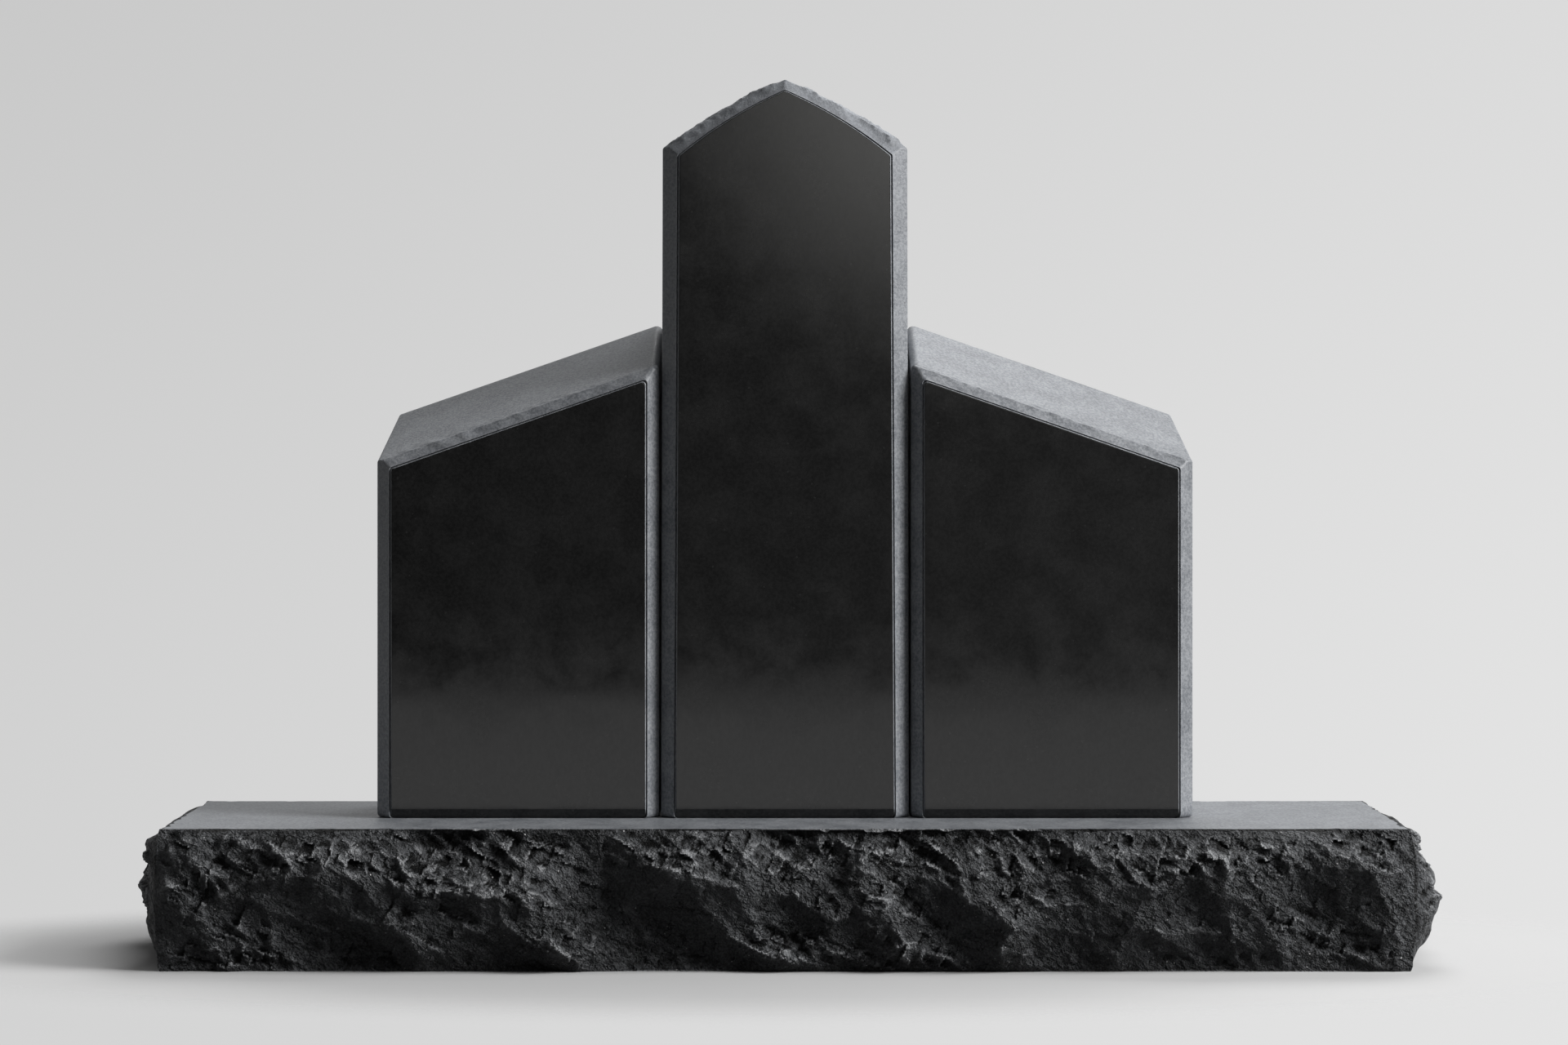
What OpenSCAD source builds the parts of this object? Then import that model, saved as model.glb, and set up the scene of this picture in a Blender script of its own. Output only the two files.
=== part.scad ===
// Upright monument in three stones on a rock-faced base.
// Origin: centre of the base's underside. X runs along the base, the front faces -Y, Z is up.

/* [Base] */
// Height of the base
base_h = 207; // [150:1:300]
// Ledge left on top of the base in front of the uprights
front_ledge = 150; // [100:1:400]
// Ledge left on top of the base behind the uprights
back_ledge = 56; // [5:1:150]
// Ledge left on top of the base past each wing
end_ledge = 297; // [100:1:600]
// How far the broken sides of the base swell past its top
rock_out = 30; // [12:1:45]
// The same for the two ends
end_out = 45; // [12:1:60]
// How far the upright corners of the base swell past its top
corner_out = 7; // [2:1:14]
// Typical length of one flake scar on the broken sides
flake_len = 205; // [120:5:320]

/* [Uprights] */
// Thickness of the three uprights, front to back
upright_t = 203; // [120:1:300]
// Joint between the centre tablet and each wing
joint_gap = 3; // [1:0.5:8]
// How far the polished panels stand proud
panel_proud = 2.5; // [1:0.5:6]
// Corner radius of the polished panels
panel_r = 5; // [2:0.5:10]
// Height of the bevel along the foot of each panel
foot_bevel_h = 14; // [6:1:25]
// How far that bevel cuts back from the panel's face
foot_bevel_t = 7; // [4:1:15]
// How far the top chamfers run back from the front
chamfer_t = 11; // [6:1:14]
// How far the side chamfers run back from the front
side_chamfer_t = 18; // [15:1:30]

/* [Centre tablet] */
// Width of the centre tablet at its foot
centre_w = 373; // [250:1:600]
// How much narrower each side is at the shoulder
centre_taper = 2.5; // [0:0.5:10]
// Height of the shoulders above the base
shoulder_h = 1007; // [820:1:1400]
// Rise of the gable from shoulder to point
gable_rise = 102; // [60:1:160]
// How far each side of the gable bows outwards
gable_bow = 6; // [2:0.5:12]
// Width of the centre tablet's side chamfers at its foot
centre_chamfer = 22; // [10:1:40]
// How much wider those chamfers are at the shoulder
chamfer_spread = 3; // [0:0.5:8]
// Height of the band between the panel and the gable at its point
apex_band = 17; // [8:1:30]
// Height of the same band straight above the panel's shoulder
shoulder_band = 29; // [15:1:40]
// Depth of the flakes broken from the gable's upper face
gable_chip = 5; // [1:0.5:8]
// Typical length of one flake scar on the gable
gable_flake_len = 62; // [40:2:120]

/* [Wings] */
// Width of each wing
wing_w = 424; // [250:1:600]
// Height of a wing beside the centre tablet, at the front of its top
wing_h = 681; // [520:1:800]
// Fall of a wing's top from the centre outwards, in degrees
wing_fall = 19.1; // [5:0.1:24]
// Rise of a wing's top from front to back, in degrees
wing_rise = 20; // [0:0.1:25]
// Width of a wing's chamfer beside the centre tablet
wing_chamfer = 19; // [10:1:40]
// Width of the chamfer on a wing's outer side
outer_chamfer = 22.5; // [10:0.5:45]
// How far a wing's outer side draws in towards the back
outer_taper = 12; // [0:1:40]
// Height of the band between a wing's panel and its top
wing_band = 15; // [8:1:30]

/* [Hidden] */

// Sizes worked out from the driving dimensions
uprights_w = centre_w + 2 * joint_gap + 2 * wing_w;
base_len = uprights_w + 2 * end_ledge;
base_t = front_ledge + upright_t + back_ledge;
front_y = front_ledge - base_t / 2; // plane of the uprights' front
back_y = front_y + upright_t;
wing_x = centre_w / 2 + joint_gap; // inner side of each wing
fall = tan(wing_fall); // slopes of a wing's top, per millimetre
rise = tan(wing_rise);

// Number of cells in the broken faces
LEN_CELLS = 92;
END_CELLS = 22;
HEIGHT_CELLS = 12;
GABLE_CELLS = 30;
PANEL_CELLS = 12; // along each bowed side of the centre panel
DEPTH_CELLS = 12;

// One row per course of flake scars, from the top of a face down:
// [height share, slope up the face, slope along the face, level share],
// with slopes as they are on a face that swells by STEEP_SWELL
FLAKE_ROWS = [[0.78, -0.46, -0.16, 1.00],
              [0.50, -0.04, -0.03, 1.20],
              [0.20,  0.34,  0.15, 0.85]];
STEEP_SWELL = 30;
FLAKE_DIP = -35;      // run of the scars' long axis, in degrees
FLAKE_DRIFT = 65;     // each lower course sits this much further along
FLAKE_BITE = 0.42;    // share of the level that a deep scar loses
SCAR_BEND = 0.0016;   // least hollowness of a scar
SCAR_BEND_MORE = 0.003;
CORNER_RUN = 80;      // a face reaches its full swell this far from a corner
EDGE_CHIP = 2.5;      // depth of the nicks along the top edge
PANEL_STEP = 1;       // bare step around each panel
SMOOTH_TURN = 80;     // half angle from which an outline's point counts as smooth

BIG = 2000;           // larger than any piece
ROCK_GREY = [0.20, 0.20, 0.21];
POLISHED_BLACK = [0.09, 0.09, 0.10];

// ---- Broken stone ----

// A repeatable number from 0 to 1 for item i and purpose k
function chance(i, k) = let (v = sin(i * 127.1 + k * 311.7) * 43758.5453) v - floor(v);

// Flake scars of a face: [along, up, level, slope along, slope up, bend]
function flakes(length, height, swell, scar_len, seed) =
    let (count = ceil(length / scar_len), pitch = length / count, steep = swell / STEEP_SWELL)
    [for (row = [0 : len(FLAKE_ROWS) - 1], i = [-2 : count + 1])
        let (course = FLAKE_ROWS[row], key = seed + 7 * row)
        [(i + 0.5 + 0.7 * (chance(i, key + 1) - 0.5)) * pitch + row * FLAKE_DRIFT,
         height * (course[0] + 0.14 * (chance(i, key + 2) - 0.5)),
         swell * (course[3] - FLAKE_BITE * chance(i, key + 4)),
         steep * course[2] * (0.4 + 1.2 * chance(i, key + 5)),
         steep * course[1] * (0.5 + chance(i, key + 3)),
         SCAR_BEND + SCAR_BEND_MORE * chance(i, key + 6)]];

// How far the scars leave the stone standing at one spot: the lowest scar wins
function broken(s, z, scars) =
    min([for (f = scars)
        let (u = s - f[0], v = z - f[1],
             along = u * cos(FLAKE_DIP) + v * sin(FLAKE_DIP),
             across = v * cos(FLAKE_DIP) - u * sin(FLAKE_DIP))
        f[2] + f[3] * u + f[4] * v + f[5] * (0.18 * along * along + 0.8 * across * across)]);

// The same, brought back to the edges at the top, the foot and the corners
function swell_at(s, z, length, height, scars) =
    let (t = z / height,
         near = min(1, min(s, length - s) / CORNER_RUN),
         chip = EDGE_CHIP * chance(floor(s / 9), 5) * pow(t, 8))
    (1 - pow(1 - near, 2)) * (broken(s, z, scars) - broken(s, height, scars) * pow(t, 2)
        - broken(s, 0, scars) * pow(1 - t, 2) - chip);

// A corner of the base at height z stands this far past its top, along X and along Y
function corner_at(z) = corner_out * pow(sin(180 * z / base_h), 0.7);

// One side of the base at height z, as [x, y] from its first corner up to its last
function side_points(z, length, reach, cells, scars, turn) =
    [for (i = [0 : cells - 1])
        let (s = length * i / cells,
             along = (s / length - 0.5) * (length + 2 * corner_at(z)),
             out = reach + corner_at(z) + swell_at(s, z, length, base_h, scars))
        [along * cos(turn) + out * sin(turn), along * sin(turn) - out * cos(turn), z]];

module base() {
    front = flakes(base_len, base_h, rock_out, flake_len, 57);
    right = flakes(base_t, base_h, end_out, flake_len, 29);
    back = flakes(base_len, base_h, rock_out, flake_len, 41);
    left = flakes(base_t, base_h, end_out, flake_len, 11);
    around = 2 * (LEN_CELLS + END_CELLS);
    rings = [for (k = [0 : HEIGHT_CELLS])
        let (z = base_h * k / HEIGHT_CELLS)
        concat(side_points(z, base_len, base_t / 2, LEN_CELLS, front, 0),
               side_points(z, base_t, base_len / 2, END_CELLS, right, 90),
               side_points(z, base_len, base_t / 2, LEN_CELLS, back, 180),
               side_points(z, base_t, base_len / 2, END_CELLS, left, 270))];
    // The flat top and underside each have a line of points along their middle
    spine = [for (z = [0, base_h], i = [0 : LEN_CELLS])
        [(i / LEN_CELLS - 0.5) * (base_len - base_t), 0, z]];
    first_spine = around * (HEIGHT_CELLS + 1);
    sides = [for (k = [0 : HEIGHT_CELLS - 1], i = [0 : around - 1])
        let (a = k * around + i, b = k * around + (i + 1) % around)
        each [[a, a + around, b + around], [a, b + around, b]]];
    color(ROCK_GREY)
        polyhedron(points = concat([for (ring = rings) each ring], spine),
                   faces = concat(sides, cap(first_spine, 0, around, false),
                       cap(first_spine + LEN_CELLS + 1, HEIGHT_CELLS * around, around, true)));
}

// Triangles between a ring of edge points and the spine inside it
function cap(spine, ring, around, top) =
    [for (i = [0 : around - 1])
        let (a = spine_under(i), b = spine_under(i + 1),
             edge = [ring + i, ring + (i + 1) % around])
        each concat(
            [top ? [edge[0], spine + a, edge[1]] : [edge[0], edge[1], spine + a]],
            a == b ? [] : [top ? [edge[1], spine + a, spine + b]
                               : [edge[1], spine + b, spine + a]])];

// Which spine point serves ring point i: the front runs right, the back runs left
function spine_under(i) =
    i <= LEN_CELLS ? i
    : i <= LEN_CELLS + END_CELLS ? LEN_CELLS
    : i <= 2 * LEN_CELLS + END_CELLS ? 2 * LEN_CELLS + END_CELLS - i
    : 0;

// ---- Uprights ----

// Points of an arc from p to q that bows outwards by bow, without its last point
function bowed(p, q, bow, cells) =
    let (chord = q - p, half = norm(chord) / 2, r = (half * half + bow * bow) / (2 * bow),
         out = [-chord[1], chord[0]] / (2 * half), centre = (p + q) / 2 - out * (r - bow),
         sweep = 2 * asin(half / r), start = atan2(p[1] - centre[1], p[0] - centre[0]))
    [for (i = [0 : cells - 1])
        let (turn = start - sweep * i / cells)
        centre + r * [cos(turn), sin(turn)]];

// Cuts away what lies beyond the plane through p with the outward normal n
module planed(p, n) {
    difference() {
        children();
        translate(p)
            rotate([0, acos(n[2] / norm(n)), atan2(n[1], n[0])])
                translate([-BIG, -BIG, 0])
                    cube([2 * BIG, 2 * BIG, BIG]);
    }
}

// Stands an outline drawn in X and Z upright, from y to y + t
module standing(y, t) {
    translate([0, y + t, 0])
        rotate([90, 0, 0])
            linear_extrude(t)
                children();
}

// Wedge cut along the foot of a panel that spans x0 to x1
module foot_bevel(x0, x1) {
    translate([x0, front_y - panel_proud, base_h])
        rotate([90, 0, 90])
            linear_extrude(x1 - x0)
                polygon([[-1, foot_bevel_h + foot_bevel_h / foot_bevel_t],
                         [foot_bevel_t, 0], [foot_bevel_t, -1], [-1, -1]]);
}

// An outline with its corners rounded to radius r. Points on a smooth run stay as they are.
function rounded(outline, r) =
    [for (i = [0 : len(outline) - 1])
        let (p = outline[i], count = len(outline),
             to_last = unit(outline[(i + count - 1) % count] - p),
             to_next = unit(outline[(i + 1) % count] - p),
             half = acos(max(-1, min(1, to_last * to_next))) / 2,
             centre = p + unit(to_last + to_next) * r / sin(half),
             a = p + to_last * r / tan(half) - centre, b = p + to_next * r / tan(half) - centre)
        each half > SMOOTH_TURN ? [p]
            : [for (k = [0 : 6]) centre + r * unit(a * (1 - k / 6) + b * k / 6)]];
function unit(v) = v / norm(v);

// Height of the gable's face above the base at a distance x from the middle
function gable_at(x) =
    let (half = centre_w / 2 - centre_taper)
    shoulder_h + gable_rise * (1 - x / half) + 4 * gable_bow * (x / half) * (1 - x / half);

// The centre panel's outline, from the left foot clockwise
function centre_panel() =
    let (foot_x = centre_w / 2 - centre_chamfer,
         x = centre_w / 2 - centre_taper - centre_chamfer - chamfer_spread,
         shoulder = [x, gable_at(x) - shoulder_band],
         point = [0, shoulder_h + gable_rise - apex_band])
    concat([[-foot_x, 0]],
           bowed([-x, shoulder[1]], point, gable_bow, PANEL_CELLS),
           bowed(point, shoulder, gable_bow, PANEL_CELLS),
           [shoulder, [foot_x, 0]]);

// The tablet's outline at one depth, from the left foot clockwise, each point as [x, y, z]
function tablet_ring(y, inset_foot, inset_top, band_point, band_shoulder, scars) =
    let (foot = centre_w / 2 - inset_foot,
         half = centre_w / 2 - centre_taper - inset_top,
         full = centre_w / 2 - centre_taper)
    concat([[-foot, y, base_h]],
           [for (i = [-GABLE_CELLS : GABLE_CELLS])
               let (x = half * i / GABLE_CELLS, share = abs(i) / GABLE_CELLS,
                    chip = len(scars) > 0 ? gable_chip - broken(full + x, y - front_y, scars) : 0)
               [x, y, base_h + gable_at(abs(x)) - chip
                   - band_point * (1 - share) - band_shoulder * share]],
           [[foot, y, base_h]]);

module centre_tablet() {
    scars = flakes(centre_w, upright_t, gable_chip, gable_flake_len, 83);
    panel_edge_foot = centre_chamfer - PANEL_STEP;
    panel_edge_top = centre_chamfer + chamfer_spread - PANEL_STEP;
    front = tablet_ring(front_y, panel_edge_foot, panel_edge_top,
        apex_band - PANEL_STEP, shoulder_band - PANEL_STEP, []);
    depths = [for (k = [0 : DEPTH_CELLS])
        front_y + side_chamfer_t + (upright_t - side_chamfer_t) * k / DEPTH_CELLS];
    left = 1 - chamfer_t / side_chamfer_t; // share of the side chamfers behind the gable's edge
    gable_edge = tablet_ring(front_y + chamfer_t, left * panel_edge_foot, left * panel_edge_top,
        0, 0, scars);
    rings = concat([front, gable_edge], [for (y = depths) tablet_ring(y, 0, 0, 0, 0, scars)]);
    around = len(front);
    last = len(rings) - 1;
    hub = [0, 0, base_h + shoulder_h / 2];
    sides = [for (k = [0 : last - 1], i = [0 : around - 1])
        let (a = k * around + i, b = k * around + (i + 1) % around)
        each [[a, a + around, b + around], [a, b + around, b]]];
    ends = [for (i = [0 : around - 1])
        let (next = (i + 1) % around)
        each [[i, next, around * (last + 1)],
              [last * around + next, last * around + i, around * (last + 1) + 1]]];
    color(POLISHED_BLACK)
        difference() {
            union() {
                polyhedron(points = concat([for (ring = rings) each ring],
                               [hub + [0, front_y, 0], hub + [0, back_y, 0]]),
                           faces = concat(sides, ends));
                translate([0, 0, base_h])
                    standing(front_y - panel_proud, panel_proud + PANEL_STEP)
                        polygon(rounded(centre_panel(), panel_r));
            }
            foot_bevel(-centre_w / 2 + centre_chamfer, centre_w / 2 - centre_chamfer);
        }
}

// The right wing. Its inner side is at wing_x.
module wing() {
    outer_x = wing_x + wing_w;
    panel_in = wing_x + wing_chamfer;
    panel_out = outer_x - outer_chamfer;
    top_edge = [wing_x, front_y + chamfer_t, base_h + wing_h];
    band_edge = [wing_x, front_y, base_h + wing_h - wing_band + PANEL_STEP];
    panel_top = wing_h - wing_band;
    color(POLISHED_BLACK)
        difference() {
            union() {
                planed(top_edge, [fall, -rise, 1])
                planed(band_edge, [fall, -wing_band / chamfer_t, 1])
                planed([panel_in - PANEL_STEP, front_y, base_h], [-side_chamfer_t, -wing_chamfer, 0])
                planed([panel_out + PANEL_STEP, front_y, base_h], [side_chamfer_t, -outer_chamfer, 0])
                planed([outer_x, front_y + side_chamfer_t, base_h],
                       [upright_t - side_chamfer_t, outer_taper, 0])
                    translate([wing_x, front_y, base_h])
                        cube([wing_w, upright_t, wing_h + upright_t]);
                translate([0, 0, base_h])
                    standing(front_y - panel_proud, panel_proud + PANEL_STEP)
                        polygon(rounded([[panel_in, 0],
                            [panel_in, panel_top - wing_chamfer * fall],
                            [panel_out, panel_top - (wing_w - outer_chamfer) * fall],
                            [panel_out, 0]], panel_r));
            }
            foot_bevel(panel_in, panel_out);
        }
}

module right_wing() {
    wing();
}

module left_wing() {
    mirror([1, 0, 0])
        wing();
}

base();
centre_tablet();
left_wing();
right_wing();
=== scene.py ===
"""Looks of an upright monument: a pointed tablet between two slanted wings on a rock-faced base.

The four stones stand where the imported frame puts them. Every size is in metres.
"""

import itertools
import logging
import math
from collections.abc import Callable, Sequence
from dataclasses import dataclass, field
from enum import Enum, IntEnum

import bpy
import numpy as np
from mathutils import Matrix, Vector


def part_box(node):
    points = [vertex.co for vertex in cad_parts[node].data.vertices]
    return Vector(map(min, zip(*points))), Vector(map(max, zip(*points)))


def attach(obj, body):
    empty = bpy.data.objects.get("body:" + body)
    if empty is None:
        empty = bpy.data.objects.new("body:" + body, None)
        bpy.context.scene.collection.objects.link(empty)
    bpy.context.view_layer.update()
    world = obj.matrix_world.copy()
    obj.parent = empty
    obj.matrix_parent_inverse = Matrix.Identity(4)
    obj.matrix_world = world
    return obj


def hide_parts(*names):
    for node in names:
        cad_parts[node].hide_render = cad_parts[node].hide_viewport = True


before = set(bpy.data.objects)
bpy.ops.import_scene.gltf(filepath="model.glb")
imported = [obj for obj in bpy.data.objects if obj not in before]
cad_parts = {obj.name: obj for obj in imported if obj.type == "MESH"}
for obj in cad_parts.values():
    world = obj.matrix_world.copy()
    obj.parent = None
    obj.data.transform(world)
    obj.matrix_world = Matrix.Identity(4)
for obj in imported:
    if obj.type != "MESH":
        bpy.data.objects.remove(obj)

UPRIGHT_THICKNESS = 0.203
# Where the card of painted reflections hangs, behind the camera.
REFLECTION_CARD_Y = -5.79
logging.basicConfig(level=logging.INFO, format="%(name)s: %(message)s")
log = logging.getLogger("monument")


# ---------------------------------------------------------------------------
# Repeatable randomness and relief
# ---------------------------------------------------------------------------


def chance(item: int, purpose: int) -> float:
    """A repeatable number from 0 to 1, by the same rule as the construction's flake scars.

    Args:
        item: Which scar it is for.
        purpose: What it decides.

    Returns:
        The number.
    """
    value = math.sin(math.radians(item * 127.1 + purpose * 311.7)) * 43758.5453
    return value - math.floor(value)


def lattice(cells: np.ndarray, seed: int) -> np.ndarray:
    """Repeatable numbers from 0 to 1, one for each lattice cell.

    Args:
        cells: Whole-number cell coordinates, with the axes last.
        seed: Picks one of many such sets of numbers.

    Returns:
        One number a cell.
    """
    mixed = np.full(cells.shape[:-1], seed * 7919 + 17, dtype=np.uint64)
    for axis in range(cells.shape[-1]):
        mixed = (mixed ^ cells[..., axis].astype(np.int64).astype(np.uint64)) * np.uint64(
            0x9E3779B97F4A7C15
        )
        mixed ^= mixed >> np.uint64(31)
    return (mixed >> np.uint64(11)).astype(float) / 2.0**53


def smooth_noise(points: np.ndarray, seed: int) -> np.ndarray:
    """Smooth noise from -1 to 1 over points whose last axis holds two or three coordinates.

    Args:
        points: Where it is wanted, in units of its wavelength.
        seed: Picks the pattern.

    Returns:
        One value a point.
    """
    cell = np.floor(points).astype(np.int64)
    part = points - cell
    ease = part**3 * (part * (part * 6 - 15) + 10)
    total = np.zeros(points.shape[:-1])
    for corner in itertools.product((0, 1), repeat=points.shape[-1]):
        weight = np.prod(np.where(np.array(corner) == 1, ease, 1 - ease), axis=-1)
        total += weight * lattice(cell + np.array(corner), seed)
    return 2 * total - 1


def fractal_noise(points: np.ndarray, seed: int, octaves: int = 4) -> np.ndarray:
    """Several octaves of smooth noise, each half as strong as the one before.

    Args:
        points: Where it is wanted, in units of the longest wavelength.
        seed: Picks the pattern.
        octaves: How many octaves.

    Returns:
        One value a point, from about -1 to 1.
    """
    total = np.zeros(points.shape[:-1])
    for k in range(octaves):
        total += smooth_noise(points * 2.03**k + 11.7 * k, seed + k) / 2**k
    return total / (2 - 0.5 ** (octaves - 1))


def ridged_noise(points: np.ndarray, seed: int, octaves: int = 4) -> np.ndarray:
    """Noise with sharp ridges and round hollows, from about -1 to 1.

    Args:
        points: Where it is wanted, in units of the longest wavelength.
        seed: Picks the pattern.
        octaves: How many octaves.

    Returns:
        One value a point.
    """
    total = np.zeros(points.shape[:-1])
    for k in range(octaves):
        total += (1 - 3.2 * np.abs(smooth_noise(points * 2.1**k + 5.3 * k, seed + k))) / 2**k
    return total / (2 - 0.5 ** (octaves - 1))


def eased(share: np.ndarray) -> np.ndarray:
    """A share clipped to 0..1 and eased at both ends."""
    share = np.clip(share, 0, 1)
    return share * share * (3 - 2 * share)


def slanted(along: np.ndarray, up: np.ndarray, dip: float) -> tuple[np.ndarray, np.ndarray]:
    """Distances along and across a slanting direction.

    Args:
        along: Distance along the face.
        up: Distance up the face.
        dip: The direction, in degrees above the face's run.

    Returns:
        The distance along the direction, and the one across it.
    """
    turn = math.radians(dip)
    run = along * math.cos(turn) + up * math.sin(turn)
    across = up * math.cos(turn) - along * math.sin(turn)
    return run, across


@dataclass(frozen=True)
class Flake:
    """One large flake scar: where it lies and how its hollow slopes."""

    along: float
    up: float
    level: float
    slope_along: float
    slope_up: float
    bend: float


def mean_around(height: np.ndarray, cells: int) -> np.ndarray:
    """The mean of a grid of heights over a square around each spot.

    Args:
        height: The heights.
        cells: How many cells the square reaches each way.

    Returns:
        The means, in the same shape.
    """
    width = 2 * cells + 1
    for axis in (0, 1):
        margin = [(0, 0), (0, 0)]
        margin[axis] = (cells + 1, cells)
        total = np.cumsum(np.pad(height, margin, mode="edge"), axis=axis)
        upper = np.take(total, range(width, total.shape[axis]), axis=axis)
        lower = np.take(total, range(total.shape[axis] - width), axis=axis)
        height = (upper - lower) / width
    return height


@dataclass(frozen=True)
class Chips:
    """Chips of one size, scattered over a broken face. The deepest chip at a spot wins.

    The slope and the hollow are the chips' own, and the spread is how much their depths differ.
    """

    length: float
    width: float
    slope: float
    spread: float
    hollow: float
    dip: float = -35.0
    reach: int = 2

    def carve(self, along: np.ndarray, up: np.ndarray, seed: int) -> np.ndarray:
        """How far the chips leave the surface from its middle level.

        Args:
            along: Distance along the face.
            up: Distance up the face.
            seed: Picks the chips.

        Returns:
            Height of the surface at each spot, which is negative in a chip.
        """
        run, across = slanted(along, up, self.dip)
        p, q = run / self.length, across / self.width
        home = np.stack([np.floor(p), np.floor(q)], axis=-1).astype(np.int64)
        lowest = np.full(p.shape, np.inf)
        for step in itertools.product(range(-self.reach, self.reach + 1), repeat=2):
            cell = home + np.array(step)
            dp = (p - cell[..., 0] - 0.1 - 0.8 * lattice(cell, seed)) * self.length
            dq = (q - cell[..., 1] - 0.1 - 0.8 * lattice(cell, seed + 1)) * self.width
            bowl = self.spread * lattice(cell, seed + 4)
            bowl += self.slope * (2 * lattice(cell, seed + 2) - 1) * dp
            bowl += self.slope * (2 * lattice(cell, seed + 3) - 1) * dq
            bowl += self.hollow * (dp * dp / self.length + dq * dq / self.width)
            lowest = np.minimum(lowest, bowl)
        return lowest - lowest.mean()


# ---------------------------------------------------------------------------
# Meshes
# ---------------------------------------------------------------------------


def deselect() -> None:
    """Leaves nothing selected, in object mode."""
    if bpy.context.object and bpy.context.object.mode != "OBJECT":
        bpy.ops.object.mode_set(mode="OBJECT")
    bpy.ops.object.select_all(action="DESELECT")


def pick(*objects: bpy.types.Object) -> None:
    """Selects these objects only, with the first one active."""
    deselect()
    for obj in objects:
        obj.select_set(True)
    bpy.context.view_layer.objects.active = objects[0]


def dress(obj: bpy.types.Object, materials: Sequence[bpy.types.Material]) -> None:
    """Gives a mesh its materials, in the order of Finish."""
    for material in materials:
        obj.data.materials.append(material)


def read_points(mesh: bpy.types.Mesh) -> np.ndarray:
    """The mesh's vertices, one row each."""
    found = np.empty(len(mesh.vertices) * 3, np.float32)
    mesh.vertices.foreach_get("co", found)
    return found.reshape(-1, 3).astype(float)


def write_points(mesh: bpy.types.Mesh, points: np.ndarray) -> None:
    """Moves the mesh's vertices to these points."""
    mesh.vertices.foreach_set("co", points.astype(np.float32).ravel())
    mesh.update()


def sheet(
    name: str, columns: int, rows: int, place: Callable[[np.ndarray, np.ndarray], np.ndarray]
) -> bpy.types.Object:
    """Adds a grid and lays its points where place says.

    Args:
        name: The object's name.
        columns: Cells along the grid.
        rows: Cells across it.
        place: Gives the points for an array of column numbers and one of row numbers.

    Returns:
        The object.
    """
    deselect()
    bpy.ops.mesh.primitive_grid_add(
        x_subdivisions=columns, y_subdivisions=rows, size=1, calc_uvs=False
    )
    obj = bpy.context.object
    obj.name = obj.data.name = name
    at = read_points(obj.data)
    column = np.rint((at[:, 0] + 0.5) * columns).astype(int)
    row = np.rint((at[:, 1] + 0.5) * rows).astype(int)
    write_points(obj.data, place(column, row))
    return obj


def store(obj: bpy.types.Object, name: str, values: np.ndarray) -> None:
    """Stores one number a vertex, for the material to read."""
    layer = obj.data.attributes.new(name, "FLOAT", "POINT")
    layer.data.foreach_set("value", values.astype(np.float32))


def joined(parts: Sequence[bpy.types.Object], name: str, gap: float = 1e-6) -> bpy.types.Object:
    """Joins objects into the first one and merges the points that meet.

    Args:
        parts: The objects.
        name: The result's name.
        gap: Points nearer than this become one.

    Returns:
        The joined object.
    """
    pick(*parts)
    if len(parts) > 1:
        bpy.ops.object.join()
    obj = bpy.context.object
    obj.name = obj.data.name = name
    bpy.ops.object.mode_set(mode="EDIT")
    bpy.ops.mesh.select_all(action="SELECT")
    bpy.ops.mesh.remove_doubles(threshold=gap)
    bpy.ops.object.mode_set(mode="OBJECT")
    return obj


def select_points(obj: bpy.types.Object, chosen: np.ndarray) -> None:
    """Selects some vertices of an object and enters edit mode on it.

    Args:
        obj: The object.
        chosen: True for each vertex to select.
    """
    pick(obj)
    bpy.ops.object.mode_set(mode="EDIT")
    bpy.ops.mesh.select_mode(type="VERT")
    bpy.ops.mesh.select_all(action="DESELECT")
    bpy.ops.object.mode_set(mode="OBJECT")
    obj.data.vertices.foreach_set("select", chosen)
    bpy.ops.object.mode_set(mode="EDIT")


def fill_between(obj: bpy.types.Object, chosen: np.ndarray) -> None:
    """Closes the chosen loop, or joins the two chosen points by an edge.

    Args:
        obj: The object.
        chosen: True for each vertex of the loop.
    """
    select_points(obj, chosen)
    bpy.ops.mesh.edge_face_add()
    bpy.ops.object.mode_set(mode="OBJECT")


def turn_outwards(obj: bpy.types.Object) -> None:
    """Turns all the faces of an object outwards."""
    pick(obj)
    bpy.ops.object.mode_set(mode="EDIT")
    bpy.ops.mesh.select_all(action="SELECT")
    bpy.ops.mesh.normals_make_consistent(inside=False)
    bpy.ops.object.mode_set(mode="OBJECT")


def finish_mesh(obj: bpy.types.Object, sharp: float) -> None:
    """Turns the faces outwards and shades them smooth up to an angle.

    Args:
        obj: The object.
        sharp: Edges that turn by more than this many degrees stay sharp.
    """
    turn_outwards(obj)
    bpy.ops.object.shade_smooth_by_angle(angle=math.radians(sharp))
    deselect()


# ---------------------------------------------------------------------------
# Materials
# ---------------------------------------------------------------------------


class Finish(IntEnum):
    """The finishes a stone can show, in the order of its material slots."""

    HONED = 0
    POLISHED = 1
    BROKEN = 2


def grey(level: float, blue: float = 0.0) -> tuple[float, float, float, float]:
    """A grey of this linear level, a little blue if asked."""
    return (level * (1 - blue), level, level * (1 + 1.6 * blue), 1.0)


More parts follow.
